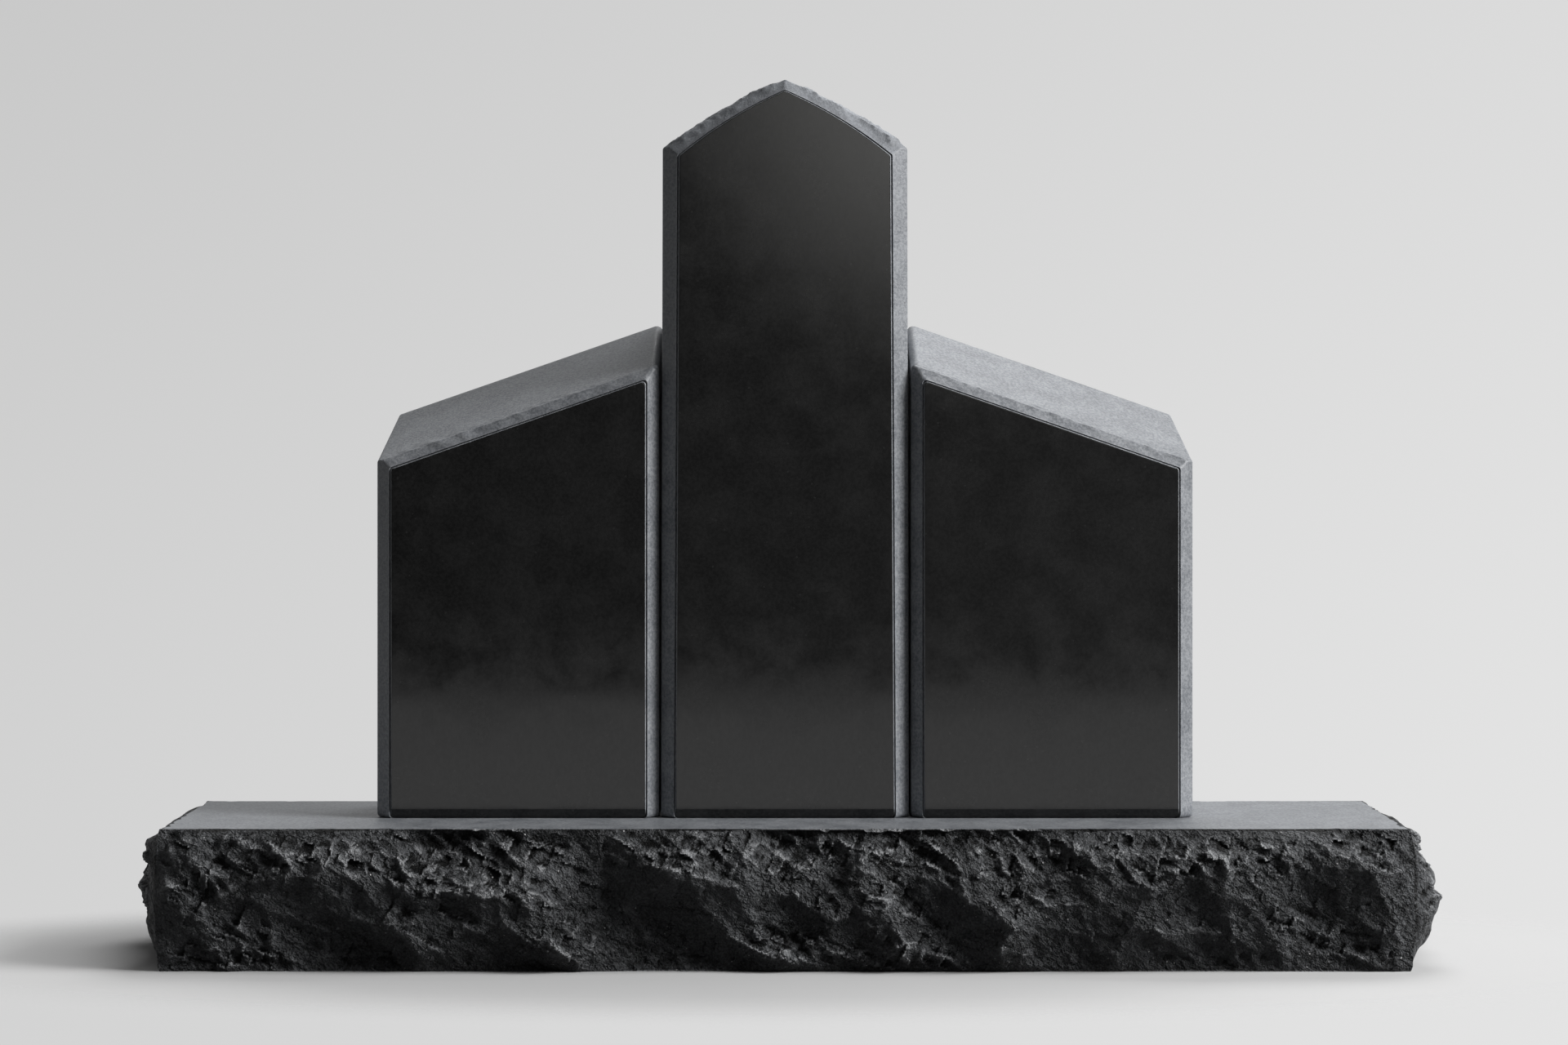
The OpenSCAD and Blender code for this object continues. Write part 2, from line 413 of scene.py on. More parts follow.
class Nodes:
    """A node tree with short ways to add nodes and join them."""

    def __init__(self, tree: bpy.types.NodeTree) -> None:
        """Takes the tree and empties it."""
        self.tree = tree
        tree.nodes.clear()

    def add(self, kind: str, settings: dict | None = None, **sockets: object) -> bpy.types.Node:
        """Adds a node.

        Args:
            kind: The node's type name.
            settings: Properties to set on it.
            **sockets: Values or output sockets for its inputs, with _ for spaces, or i0, i1
                and so on for inputs by number.

        Returns:
            The node.
        """
        node = self.tree.nodes.new(kind)
        for key, value in (settings or {}).items():
            setattr(node, key, value)
        for key, value in sockets.items():
            numbered = key[0] == "i" and key[1:].isdigit()
            socket = node.inputs[int(key[1:]) if numbered else key.replace("_", " ")]
            if isinstance(value, bpy.types.NodeSocket):
                self.tree.links.new(value, socket)
            else:
                socket.default_value = value
        return node

    def maths(self, operation: str, a: object, b: object = 0.0) -> bpy.types.NodeSocket:
        """The result of a maths node on two values or sockets."""
        return self.add("ShaderNodeMath", {"operation": operation}, i0=a, i1=b).outputs[0]

    def blend(self, factor: object, a: object, b: object) -> bpy.types.NodeSocket:
        """A colour mixed from two, by a factor."""
        node = self.add("ShaderNodeMix", {"data_type": "RGBA"}, i0=factor, i6=a, i7=b)
        return node.outputs[2]

    def ramp(self, value: object, low: float, high: float) -> bpy.types.NodeSocket:
        """A value moved from low..high to 0..1 and clipped."""
        eased_step = {"interpolation_type": "SMOOTHSTEP"}
        return self.add("ShaderNodeMapRange", eased_step, i0=value, i1=low, i2=high).outputs[0]

    def noise(self, place: object, scale: object, detail: float, roughness: float) -> bpy.types.Node:
        """A noise texture.

        Args:
            place: Where it is drawn.
            scale: Its scale.
            detail: Its detail.
            roughness: How strong its finer octaves are.

        Returns:
            The node.
        """
        return self.add(
            "ShaderNodeTexNoise", Vector=place, Scale=scale, Detail=detail, Roughness=roughness
        )

    def astray(self, place: object, scale: float, detail: float, reach: float) -> bpy.types.NodeSocket:
        """A place moved by noise, so that what is drawn there has no straight edges.

        Args:
            place: The place that is moved.
            scale: Scale of the noise, which reads the object's own coordinates.
            detail: Its detail.
            reach: How far it moves.

        Returns:
            The moved place.
        """
        own = self.add("ShaderNodeTexCoord").outputs["Object"]
        noise = self.noise(own, scale, detail, 0.6).outputs["Color"]
        step = self.add("ShaderNodeVectorMath", {"operation": "SCALE"}, i0=noise, Scale=reach)
        return self.add("ShaderNodeVectorMath", i0=place, i1=step.outputs[0]).outputs[0]


def chip_relief(nodes: Nodes, along_dip: bpy.types.NodeSocket, scale: object) -> bpy.types.NodeSocket:
    """Height of many small chips.

    Args:
        nodes: The tree.
        along_dip: Where it is drawn, stretched along the dip.
        scale: How many chips there are to a metre.

    Returns:
        The height.
    """
    return nodes.add(
        "ShaderNodeTexVoronoi",
        {"feature": "F1"},
        Vector=nodes.astray(along_dip, 90.0, 3.0, 0.016),
        Scale=scale,
        Detail=2.0,
        Roughness=0.55,
        Lacunarity=2.3,
    ).outputs["Distance"]


def hairline_cracks(
    nodes: Nodes, place: bpy.types.NodeSocket, along_dip: bpy.types.NodeSocket
) -> bpy.types.NodeSocket:
    """Mask of fine cracks, which show in some patches only.

    Args:
        nodes: The tree.
        place: The object's own coordinates, which the patches follow.
        along_dip: Where the cracks are drawn, stretched along the dip.

    Returns:
        1 in a crack and 0 elsewhere.
    """
    edges = nodes.add(
        "ShaderNodeTexVoronoi",
        {"feature": "DISTANCE_TO_EDGE"},
        Vector=nodes.astray(along_dip, 34.0, 4.0, 0.045),
        Scale=32.0,
    )
    patches = nodes.noise(place, 23.0, 2.0, 0.5)
    line = nodes.ramp(edges.outputs["Distance"], 0.035, 0.0)
    return nodes.maths("MULTIPLY", line, nodes.ramp(patches.outputs[0], 0.50, 0.58))


def crystal_sparkle(
    nodes: Nodes, place: bpy.types.NodeSocket, scale: bpy.types.NodeSocket
) -> bpy.types.NodeSocket:
    """Mask of the few crystals that catch the light.

    Args:
        nodes: The tree.
        place: The object's own coordinates.
        scale: How many crystals there are to a metre.

    Returns:
        1 on such a crystal and 0 elsewhere.
    """
    cells = nodes.add("ShaderNodeTexVoronoi", Vector=place, Scale=scale, Randomness=1.0)
    rare = nodes.add("ShaderNodeSeparateColor", i0=cells.outputs["Color"])
    chosen = nodes.ramp(rare.outputs[0], 0.985, 0.995)
    return nodes.maths("MULTIPLY", chosen, nodes.ramp(cells.outputs["Distance"], 0.42, 0.22))


def stone_grain() -> bpy.types.NodeTree:
    """Builds the shared group of a fine-grained stone.

    Returns:
        The group, which puts out crystals, clouds, sparkle, cracks and the grain's height.
    """
    tree = bpy.data.node_groups.new("stone_grain", "ShaderNodeTree")
    for name in ("Crystal Size", "Cloud Size", "Chip Size", "Crack Depth", "Flakes"):
        tree.interface.new_socket(name, in_out="INPUT", socket_type="NodeSocketFloat")
    for name in ("Crystals", "Clouds", "Sparkle", "Cracks", "Height"):
        tree.interface.new_socket(name, in_out="OUTPUT", socket_type="NodeSocketFloat")
    nodes = Nodes(tree)
    given = nodes.add("NodeGroupInput").outputs
    place = nodes.add("ShaderNodeTexCoord").outputs["Object"]
    along_dip = nodes.add(
        "ShaderNodeMapping",
        {"vector_type": "TEXTURE"},
        Vector=place,
        Rotation=(0, math.radians(35), 0),
        Scale=(1.35, 1.1, 0.8),
    ).outputs[0]
    fine = nodes.maths("DIVIDE", 1.0, given["Crystal Size"])
    wide = nodes.maths("DIVIDE", 1.0, given["Cloud Size"])
    chipped = nodes.maths("DIVIDE", 1.0, given["Chip Size"])
    crystals = nodes.noise(place, fine, 3.0, 0.65).outputs[0]
    clouds = nodes.noise(place, wide, 5.0, 0.6).outputs[0]
    sparkle = crystal_sparkle(nodes, place, fine)
    cracks = hairline_cracks(nodes, place, along_dip)
    chips = nodes.maths("MULTIPLY", chip_relief(nodes, along_dip, chipped), given["Flakes"])
    height = nodes.maths("ADD", crystals, chips)
    height = nodes.maths("SUBTRACT", height, nodes.maths("MULTIPLY", cracks, given["Crack Depth"]))
    out = nodes.add("NodeGroupOutput")
    for socket, source in zip(out.inputs, (crystals, clouds, sparkle, cracks, height)):
        tree.links.new(source, socket)
    return tree


@dataclass(frozen=True)
class StoneFinish:
    """One finish of the stone, from its named values."""

    name: str
    dark: tuple[float, float, float, float]
    light: tuple[float, float, float, float]
    roughness: float
    roughness_spread: float
    crystal: float
    cloud: float
    crystal_share: float
    bump: float
    sparkle: tuple[float, float, float, float]
    specular: float = 0.5
    chip: float = 0.01
    crack: float = 0.0
    flakes: float = 0.0
    crest: tuple[float, float, float, float] | None = None
    hollow: tuple[float, float, float, float] | None = None

    def build(self, grain: bpy.types.NodeTree) -> bpy.types.Material:
        """Makes the material.

        Args:
            grain: The shared stone_grain group.

        Returns:
            The material.
        """
        material = bpy.data.materials.new(self.name)
        material.use_nodes = True
        nodes = Nodes(material.node_tree)
        group = nodes.add(
            "ShaderNodeGroup",
            {"node_tree": grain},
            Crystal_Size=self.crystal,
            Cloud_Size=self.cloud,
            Chip_Size=self.chip,
            Crack_Depth=self.crack,
            Flakes=self.flakes,
        )
        crystals = nodes.ramp(group.outputs["Crystals"], 0.34, 0.66)
        clouds = nodes.ramp(group.outputs["Clouds"], 0.3, 0.7)
        share = nodes.maths(
            "ADD",
            nodes.maths("MULTIPLY", crystals, self.crystal_share),
            nodes.maths("MULTIPLY", clouds, 1 - self.crystal_share),
        )
        colour = nodes.blend(share, self.dark, self.light)
        # Painted light on the broken faces: crests painted paler as painted highlights, hollows
        # painted near-black as painted shade.
        if self.crest:
            painted_relief_light = nodes.add("ShaderNodeAttribute", {"attribute_name": "painted_relief_light"}).outputs["Fac"]
            colour = nodes.blend(nodes.ramp(painted_relief_light, 0.0, -0.5), colour, self.hollow)
            colour = nodes.blend(nodes.ramp(painted_relief_light, 0.08, 0.8), colour, self.crest)
            # Hairline cracks painted near-black too: painted shade in the cracks.
            colour = nodes.blend(group.outputs["Cracks"], colour, self.hollow)
        # The sparkle mask's crystals take the sparkle colour; on the rock face that colour is a bright
        # painted glint.
        colour = nodes.blend(group.outputs["Sparkle"], colour, self.sparkle)
        rough = nodes.maths(
            "ADD", nodes.maths("MULTIPLY", clouds, self.roughness_spread), self.roughness
        )
        bump = nodes.add(
            "ShaderNodeBump", Strength=1.0, Distance=self.bump, Height=group.outputs["Height"]
        )
        shader = nodes.add(
            "ShaderNodeBsdfPrincipled",
            Base_Color=colour,
            Roughness=rough,
            Normal=bump.outputs[0],
        )
        shader.inputs["Specular IOR Level"].default_value = self.specular
        nodes.add("ShaderNodeOutputMaterial", Surface=shader.outputs[0])
        return material


HONED = StoneFinish(
    name="honed_granite",
    dark=grey(0.135, 0.075),
    light=grey(0.350, 0.035),
    roughness=0.44,
    roughness_spread=0.12,
    crystal=0.0042,
    cloud=0.045,
    crystal_share=0.6,
    bump=0.0005,
    sparkle=grey(0.12, 0.03),
)
POLISHED = StoneFinish(
    name="polished_black_granite",
    dark=grey(0.0010),
    light=grey(0.0190),
    roughness=0.06,
    roughness_spread=0.07,
    crystal=0.0045,
    cloud=0.07,
    crystal_share=0.5,
    bump=0.0,
    sparkle=grey(0.03),
    specular=0.62,
)
PITCHED = StoneFinish(
    name="pitched_granite",
    dark=grey(0.16, 0.05),
    light=grey(0.36, 0.05),
    roughness=0.55,
    roughness_spread=0.15,
    crystal=0.003,
    cloud=0.03,
    crystal_share=0.5,
    bump=0.0006,
    sparkle=grey(0.3, 0.03),
)
ROCK = StoneFinish(
    name="rock_faced_granite",
    dark=grey(0.020, 0.02),
    light=grey(0.162, 0.03),
    roughness=0.45,
    roughness_spread=0.2,
    crystal=0.0035,
    cloud=0.05,
    crystal_share=0.6,
    bump=0.0048,
    # Painted glints: a few crystals painted bright white.
    sparkle=grey(0.60),
    specular=0.16,
    chip=0.018,
    crack=1.5,
    flakes=2.4,
    # Painted highlight on the crests; painted shade in the hollows and the cracks.
    crest=grey(0.36, 0.02),
    hollow=grey(0.006),
)


# ---------------------------------------------------------------------------
# The base
# ---------------------------------------------------------------------------


@dataclass(frozen=True)
class Course:
    """One course of flake scars on a broken side, as shares of its height and swell."""

    height: float
    slope_up: float
    slope_along: float
    level: float


@dataclass(frozen=True)
class Bulge:
    """Where a broken side stands further out, or less far, than its scars leave it.

    Its height and its spread are shares of the side's height.
    """

    up: float
    out: float
    spread: float


@dataclass
class BrokenSide:
    """One rock-faced side of the base, with its flake scars from large to small.

    Attributes:
        length: Length along the top's edge.
        height: Height of the side.
        swell: How far the large scars stand out at most.
        seed: Picks the scars.
        scar_length: About how long a large scar is.
        drift: How far each lower course of scars is moved along.
        dip: Direction of the smaller chips, in degrees above the side's run.
        bite: How much the depths of the large scars differ, as a share of the swell.
        corner_run: How far the corners tell along the side.
        steep_swell: The swell at which the courses' slopes hold.
        stray: How far noise moves the edges of the scars.
        stray_lengths: Its wavelengths along and up.
        patch_length: Size of the patches that broke roughly or cleanly.
        tear_size: Length and width of the torn grain.
        tear_heights: Its height where clean, and what rough patches add.
        ripple_pitch: Spacing of the ripples.
        ripple_height: Their height.
        chip_length: Length of the chips along the top's edge.
        chip_depth: Their depth.
        medium: The medium chips.
        small: The small chips.
        fine: The finest chips.
        bulges: Where the side stands further out or less far.
    """

    length: float
    height: float
    swell: float
    seed: int
    scar_length: float = 0.205
    drift: float = 0.065
    dip: float = -35.0
    bite: float = 0.42
    corner_run: float = 0.080
    steep_swell: float = 0.030
    stray: float = 0.015
    stray_lengths: tuple[float, float] = (0.100, 0.090)
    patch_length: float = 0.11
    tear_size: tuple[float, float] = (0.052, 0.027)
    tear_heights: tuple[float, float] = (0.0011, 0.0029)
    ripple_pitch: float = 0.030
    ripple_height: float = 0.006
    chip_length: float = 0.022
    chip_depth: float = 0.009
    medium: Chips = Chips(0.105, 0.066, 0.40, 0.007, 0.18)
    small: Chips = Chips(0.056, 0.033, 0.54, 0.0035, 0.19)
    fine: Chips = Chips(0.015, 0.009, 0.66, 0.0008, 0.22, dip=-20, reach=1)
    bulges: tuple[Bulge, ...] = ()
    courses: tuple[Course, ...] = (
        Course(0.78, -0.46, -0.16, 1.00),
        Course(0.50, -0.04, -0.03, 1.20),
        Course(0.20, 0.34, 0.15, 0.85),
    )

    def flakes(self) -> list[Flake]:
        """The large scars, course by course."""
        count = math.ceil(self.length / self.scar_length)
        pitch = self.length / count
        steep = self.swell / self.steep_swell
        found = []
        for row, course in enumerate(self.courses):
            key = self.seed + 7 * row
            for i in range(-2, count + 2):
                found.append(
                    Flake(
                        along=(i + 0.5 + 0.7 * (chance(i, key + 1) - 0.5)) * pitch
                        + row * self.drift,
                        up=self.height * (course.height + 0.14 * (chance(i, key + 2) - 0.5)),
                        level=self.swell * (course.level - self.bite * chance(i, key + 4)),
                        slope_along=steep * course.slope_along * (0.4 + 1.2 * chance(i, key + 5)),
                        slope_up=steep * course.slope_up * (0.5 + chance(i, key + 3)),
                        bend=1.6 + 3.0 * chance(i, key + 6),
                    )
                )
        return found

    def broken(self, along: np.ndarray, up: np.ndarray) -> np.ndarray:
        """How far the large scars leave the stone standing: the lowest scar wins.

        Args:
            along: Distance along the side.
            up: Height.

        Returns:
            The distance, outwards.
        """
        lowest = np.full(along.shape, np.inf)
        for flake in self.flakes():
            u, v = along - flake.along, up - flake.up
            run, across = slanted(u, v, self.dip)
            bowl = flake.level + flake.slope_along * u + flake.slope_up * v
            bowl += flake.bend * (0.18 * run * run + 0.8 * across * across)
            lowest = np.minimum(lowest, bowl)
        return lowest

    def from_ends(self, along: np.ndarray) -> np.ndarray:
        """0 at the side's two ends, rising to 1 where the corners no longer tell."""
        return np.minimum(1, np.minimum(along, self.length - along) / self.corner_run)

    def from_edges(self, up: np.ndarray, reach: float) -> np.ndarray:
        """0 at the foot and at the top's edge, rising to 1 at this distance from both."""
        return np.minimum(np.minimum(up, self.height - up) / reach, 1)

    def large_forms(self, along: np.ndarray, up: np.ndarray, share: np.ndarray) -> np.ndarray:
        """The large scars and the bulges, brought back to nothing at the foot and the top.

        Args:
            along: Distance along the side, strayed by noise.
            up: Height, strayed by noise.
            share: The true height as a share of the side's.

        Returns:
            How far the stone stands out.
        """
        foot, top = np.zeros_like(along), np.full_like(along, self.height)
        large = (
            self.broken(along, up)
            - self.broken(along, top) * share**2
            - self.broken(along, foot) * (1 - share) ** 2
        )
        for bulge in self.bulges:
            large += bulge.out * np.exp(-(((share - bulge.up) / bulge.spread) ** 2))
        return large

    def detail(self, place: np.ndarray, warp: np.ndarray, rough: np.ndarray) -> np.ndarray:
        """The smaller chips, the torn grain and the ripples.

        Args:
            place: Distance along the side and height, stacked on the first axis.
            warp: How far both stray by noise.
            rough: 1 where the stone broke roughly, 0 where it flaked cleanly.

        Returns:
            Their height.
        """
        small = self.small.carve(*(place + 0.8 * warp), self.seed + 30)
        fine = self.fine.carve(*(place + 0.7 * warp), self.seed + 40)
        along, up = place + warp
        run, across = slanted(along, up, self.dip)
        tears = np.stack([run / self.tear_size[0], across / self.tear_size[1]], axis=-1)
        torn = ridged_noise(tears, self.seed + 50, 4)
        total = (0.34 + 0.78 * rough) * small
        total += (0.30 + 0.75 * rough) * fine
        total += (self.tear_heights[0] + self.tear_heights[1] * rough) * torn
        total += rough * self.ripples(along, np.clip(up, 0, self.height))
        return total

    def relief(self, along: np.ndarray, up: np.ndarray) -> np.ndarray:
        """How far the broken side stands past the top's edge.

        Args:
            along: Distance from the side's first corner.
            up: Height above the ground.

        Returns:
            The distance, outwards.
        """
        spot = np.stack([along, up], axis=-1)
        length_along, length_up = self.stray_lengths
        warp_along = self.stray * fractal_noise(spot / length_along, self.seed, 4)
        warp_up = self.stray * fractal_noise(spot / length_up, self.seed + 9, 4)
        place, warp = np.stack([along, up]), np.stack([warp_along, warp_up])
        near = self.from_ends(along)
        ends = eased(near * 3)
        strayed_up = np.clip(up + warp_up, 0, self.height)
        large = self.large_forms(along + warp_along, strayed_up, up / self.height)
        large += self.medium.carve(*(place + 1.8 * warp), self.seed + 20) * ends
        facing = np.gradient(mean_around(large, 4), axis=0) / (up[1, 0] - up[0, 0])
        patches = fractal_noise(spot / self.patch_length, self.seed + 80, 3)
        rough = eased(0.50 - 1.4 * facing + 0.9 * patches)
        detail = self.detail(place, warp, rough)
        fade = (0.25 + 0.75 * self.from_edges(up, 0.02)) * ends
        whole = (1 - (1 - near) ** 2) * self.from_edges(up, 0.03) ** 0.5
        return whole * large + fade * detail

    def arris_chips(self, along: np.ndarray) -> np.ndarray:
        """Depth of the small chips along the top's edge."""
        spot = np.stack([along / self.chip_length, np.zeros_like(along)], axis=-1)
        bite = np.clip(fractal_noise(spot, self.seed + 90, 4) - 0.16, 0, 1)
        return (0.0004 + self.chip_depth * bite) * eased(self.from_ends(along) * 3)

    def ripples(self, along: np.ndarray, up: np.ndarray) -> np.ndarray:
        """Small steps in rows along the dip, where the stone tore instead of flaking.

        Args:
            along: Distance along the side.
            up: Height.

        Returns:
            Their height.
        """
        run, across = slanted(along, up, self.dip)
        wander = fractal_noise(np.stack([run / 0.09, across / 0.03], -1), self.seed + 60, 4)
        phase = across / self.ripple_pitch + 0.9 * wander
        strength = fractal_noise(np.stack([run / 0.08, across / 0.05], -1), self.seed + 70, 3)
        step = phase - np.floor(phase) - 0.5
        return self.ripple_height * np.clip(strength - 0.05, 0, 1) * step


@dataclass
class Base:
    """The long low slab: rock-faced sides, flat honed top.

    Attributes:
        node: The frame's node that it stands for.
        end_ledge: How far the top runs past the wings.
        front_ledge: How far it runs in front of the uprights.
        back_ledge: How far it runs behind them.
        swell: How far the long sides' scars stand out.
        end_swell: How far the ends' scars stand out.
        corner_swell: How far the corners stand out.
        row_height: Height of a row of the sides' grids.
        front_pitch: Spacing of the front's points.
        end_pitch: Spacing of the ends' points.
        back_pitch: Spacing of the back's points.
        rim: Width of the strip between the broken sides and the flat top.
        shake: How far fine noise moves the points.
        shake_length: Its wavelength.
        bulges: The sides' bulges, by the side's name.
        height: Height of the base.
        length: Length of its top.
        depth: Depth of its top.
    """

    node: str = "base"
    end_ledge: float = 0.297
    front_ledge: float = 0.150
    back_ledge: float = 0.056
    swell: float = 0.030
    end_swell: float = 0.045
    corner_swell: float = 0.007
    row_height: float = 0.0026
    front_pitch: float = 0.0026
    end_pitch: float = 0.0035
    back_pitch: float = 0.0068
    rim: float = 0.003
    shake: float = 0.0030
    shake_length: float = 0.035
    bulges: dict[str, tuple[Bulge, ...]] = field(
        default_factory=lambda: {
            "front_side": (Bulge(0.72, 0.006, 0.17),),
            "left_side": (
                Bulge(0.88, 0.009, 0.12),
                Bulge(0.36, 0.012, 0.16),
                Bulge(0.62, 0.005, 0.10),
            ),
            "right_side": (
                Bulge(0.88, 0.010, 0.12),
                Bulge(0.55, -0.012, 0.06),
                Bulge(0.15, 0.012, 0.10),
            ),
        }
    )
    height: float = field(init=False)
    length: float = field(init=False)
    depth: float = field(init=False)

    def __post_init__(self) -> None:
        """Takes the base's size from the frame: the uprights and the ledges around them."""
        low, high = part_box(self.node)
        self.height = high[2] - low[2]
        left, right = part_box("left_wing"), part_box("right_wing")
        self.length = right[1][0] - left[0][0] + 2 * self.end_ledge
        self.depth = self.front_ledge + UPRIGHT_THICKNESS + self.back_ledge

    def corner(self, up: np.ndarray) -> np.ndarray:
        """How far a corner of the base stands past its top at a height."""
        return self.corner_swell * np.sin(np.pi * up / self.height) ** 0.7

    def shaken(self, points: np.ndarray) -> np.ndarray:
        """Moves points by fine noise, less so near the foot and the top's edge."""
        up = points[..., 2]
        inside = eased(np.minimum(up, self.height - up) / 0.01)
        spot = points / self.shake_length
        shake = np.stack([fractal_noise(spot, 71 + k, 4) for k in range(3)], axis=-1)
        shake[..., 2] *= inside
        return points + self.shake * shake * (0.35 + 0.65 * inside[..., None])

    @staticmethod
    def painted_relief_light(relief: np.ndarray) -> np.ndarray:
        """Above 0 on crests and below 0 in hollows, by how each spot stands to its neighbours; the
        material paints highlights on the crests and shade in the hollows by these values.

        Args:
            relief: How far the side stands out, row by row from the foot.

        Returns:
            The values, with the top row's again for the row just inside the top's edge.
        """
        crest = (relief - mean_around(relief, 1)) / 0.0040
        crest += (relief - mean_around(relief, 5)) / 0.013
        crest = np.concatenate([crest, crest[-1:]])
        return np.clip(crest, -0.7, 1.0)

    def side(
        self, name: str, turn: float, length: float, reach: float, pitch: float, seed: int
    ) -> bpy.types.Object:
        """Builds one broken side.

        Args:
            name: The object's name.
            turn: Which way it faces, in degrees round from the front.
            length: Length of the side along the top.
            reach: Distance of the top's edge from the middle of the base.
            pitch: Spacing of its points along the side.
            seed: Picks its scars.

        Returns:
            The side as an open sheet, with one more row of points just inside the top's edge.
        """
        columns, rows = round(length / pitch), round(self.height / self.row_height)
        swell = self.end_swell if turn in (90, 270) else self.swell
        bulges = self.bulges.get(name, ())
        face = BrokenSide(length, self.height, swell, seed, bulges=bulges)
        levels = np.linspace(0, self.height, rows + 1)
        share, up = np.meshgrid(np.linspace(0, 1, columns + 1), levels)
        relief = face.relief(share * length, up)
        corner = self.corner(up)
        chips = face.arris_chips(share[:1] * length)
        up = np.concatenate([up - chips * eased(1 - (self.height - up) / 0.02), up[-1:]])
        along = (share - 0.5) * (length + 2 * corner)
        along = np.concatenate([along, (share[:1] - 0.5) * (length - 2 * self.rim)])
        out = np.concatenate([reach + corner + relief, reach - self.rim - 1.2 * chips])
        angle = math.radians(turn)
        x = along * math.cos(angle) + out * math.sin(angle)
        y = along * math.sin(angle) - out * math.cos(angle)
        points = self.shaken(np.stack([x, y, up], axis=-1))
        obj = sheet(name, columns, rows + 1, lambda column, row: points[row, column])
        # Values for the painted highlights on the crests and the painted shade in the hollows.
        store(obj, "painted_relief_light", self.painted_relief_light(relief).ravel())
        return obj

    def build(self, materials: Sequence[bpy.types.Material]) -> bpy.types.Object:
        """Builds the whole base as one closed mesh.

        Args:
            materials: The base's materials, in the order of Finish.

        Returns:
            The base.
        """
        half_l, half_d = self.length / 2, self.depth / 2
        sides = [
            self.side("front_side", 0, self.length, half_d, self.front_pitch, 57),
            self.side("right_side", 90, self.depth, half_l, self.end_pitch, 29),
            self.side("back_side", 180, self.length, half_d, self.back_pitch, 41),
            self.side("left_side", 270, self.depth, half_l, self.end_pitch, 11),
        ]
        slab = joined(sides, "rock_faced_base", 1e-5)
        for level in (self.height, 0.0):
            at = read_points(slab.data)
            fill_between(slab, np.abs(at[:, 2] - level) < 1e-6)
        finish_mesh(slab, 8)
        dress(slab, materials)
        corners = np.empty(len(slab.data.polygons), np.int32)
        slab.data.polygons.foreach_get("loop_total", corners)
        flat = corners > 4
        slab.data.polygons.foreach_set(
            "material_index", np.where(flat, int(Finish.HONED), int(Finish.BROKEN))
        )
        return slab


# ---------------------------------------------------------------------------
# The uprights
# ---------------------------------------------------------------------------


def rounded_corner(
    before: np.ndarray, corner: np.ndarray, after: np.ndarray, radius: float, steps: int = 6
) -> np.ndarray:
    """Points of the arc that rounds a corner.

    Args:
        before: The point that the path comes from.
        corner: The corner.
        after: The point that the path goes to.
        radius: The arc's radius.
        steps: Straight steps in the arc.

    Returns:
        The arc's points, from the incoming run to the outgoing one.
    """
    back = (before - corner) / np.linalg.norm(before - corner)
    on = (after - corner) / np.linalg.norm(after - corner)
    half = math.acos(max(-1.0, min(1.0, float(back @ on)))) / 2
    middle = (back + on) / np.linalg.norm(back + on)
    centre = corner + middle * radius / math.sin(half)
    a = corner + back * radius / math.tan(half) - centre
    b = corner + on * radius / math.tan(half) - centre
    share = np.linspace(0, 1, steps + 1)[:, None]
    ray = a * (1 - share) + b * share
    return centre + radius * ray / np.linalg.norm(ray, axis=1, keepdims=True)


def bowed_run(start: np.ndarray, end: np.ndarray, share: np.ndarray, bow: float) -> np.ndarray:
    """Points along a run that bows out to its left.

    Args:
        start: Where it starts.
        end: Where it ends.
        share: Where the points lie, as shares of its length.
        bow: How far its middle bows out.

    Returns:
        The points.
    """
    chord = end - start
    out = np.array([-chord[1], chord[0]]) / np.linalg.norm(chord)
    height = 4 * bow * share * (1 - share)
    return start + share[:, None] * chord + height[:, None] * out


def closed_outline(
    corners: np.ndarray, radius: float, bowed: Sequence[int] = (), bow: float = 0.0, steps: int = 8
) -> np.ndarray:
    """A closed outline with all its corners rounded.

    Args:
        corners: The corners, in order.
        radius: Their radius.
        bowed: Numbers of the corners that a bowed run follows.
        bow: How far those runs bow out.
        steps: Straight steps in each arc.

    Returns:
        The points of the arcs and the bowed runs, in order.
    """
    count = len(corners)
    arcs = [
        rounded_corner(corners[k - 1], corners[k], corners[(k + 1) % count], radius, steps)
        for k in range(count)
    ]
    points = []
    for k, arc in enumerate(arcs):
        points.append(arc)
        if k in bowed:
            points.append(bowed_run(arc[-1], arcs[k + 1][0], np.linspace(0, 1, 24)[1:-1], bow))
    return np.concatenate(points)


@dataclass
class Ring:
    """One ring of an upright: how far in from its outline, how far back, and its corners."""

    inset: float
    back: float
    corner: float
    top_inset: float


@dataclass
class Path:
    """A rounded path up one side of an upright, over its top and down the other."""

    shares: list[np.ndarray]
    bows: list[float]

    def trace(self, corners: np.ndarray, radii: Sequence[float]) -> np.ndarray:
        """Points of the path through these corners.

        Args:
            corners: The path's corners, feet included.
            radii: Radius of each corner between the feet.

        Returns:
            The points, as X and Z.
        """
        arcs = [
            rounded_corner(corners[k], corners[k + 1], corners[k + 2], radius)
            for k, radius in enumerate(radii)
        ]
        starts = [corners[0]] + [arc[-1] for arc in arcs]
        ends = [arc[0] for arc in arcs] + [corners[-1]]
        points = []
        for k, share in enumerate(self.shares):
            points.append(bowed_run(starts[k], ends[k], share, self.bows[k]))
            if k < len(arcs):
                points.append(arcs[k][1:-1])
        return np.concatenate(points)

    def on_top(self, arc_points: int = 5) -> np.ndarray:
        """1 along the top of the path, easing to 0 round the corners to the sides."""
        marks = []
        last = len(self.shares) - 1
        for k, share in enumerate(self.shares):
            marks.append(np.full(len(share), float(0 < k < last)))
            if k < last:
                to_top = np.linspace(0, 1, arc_points + 2)[1:-1]
                marks.append(
                    to_top if k == 0 else 1 - to_top if k == last - 1 else np.ones(arc_points)
                )
        return np.concatenate(marks)


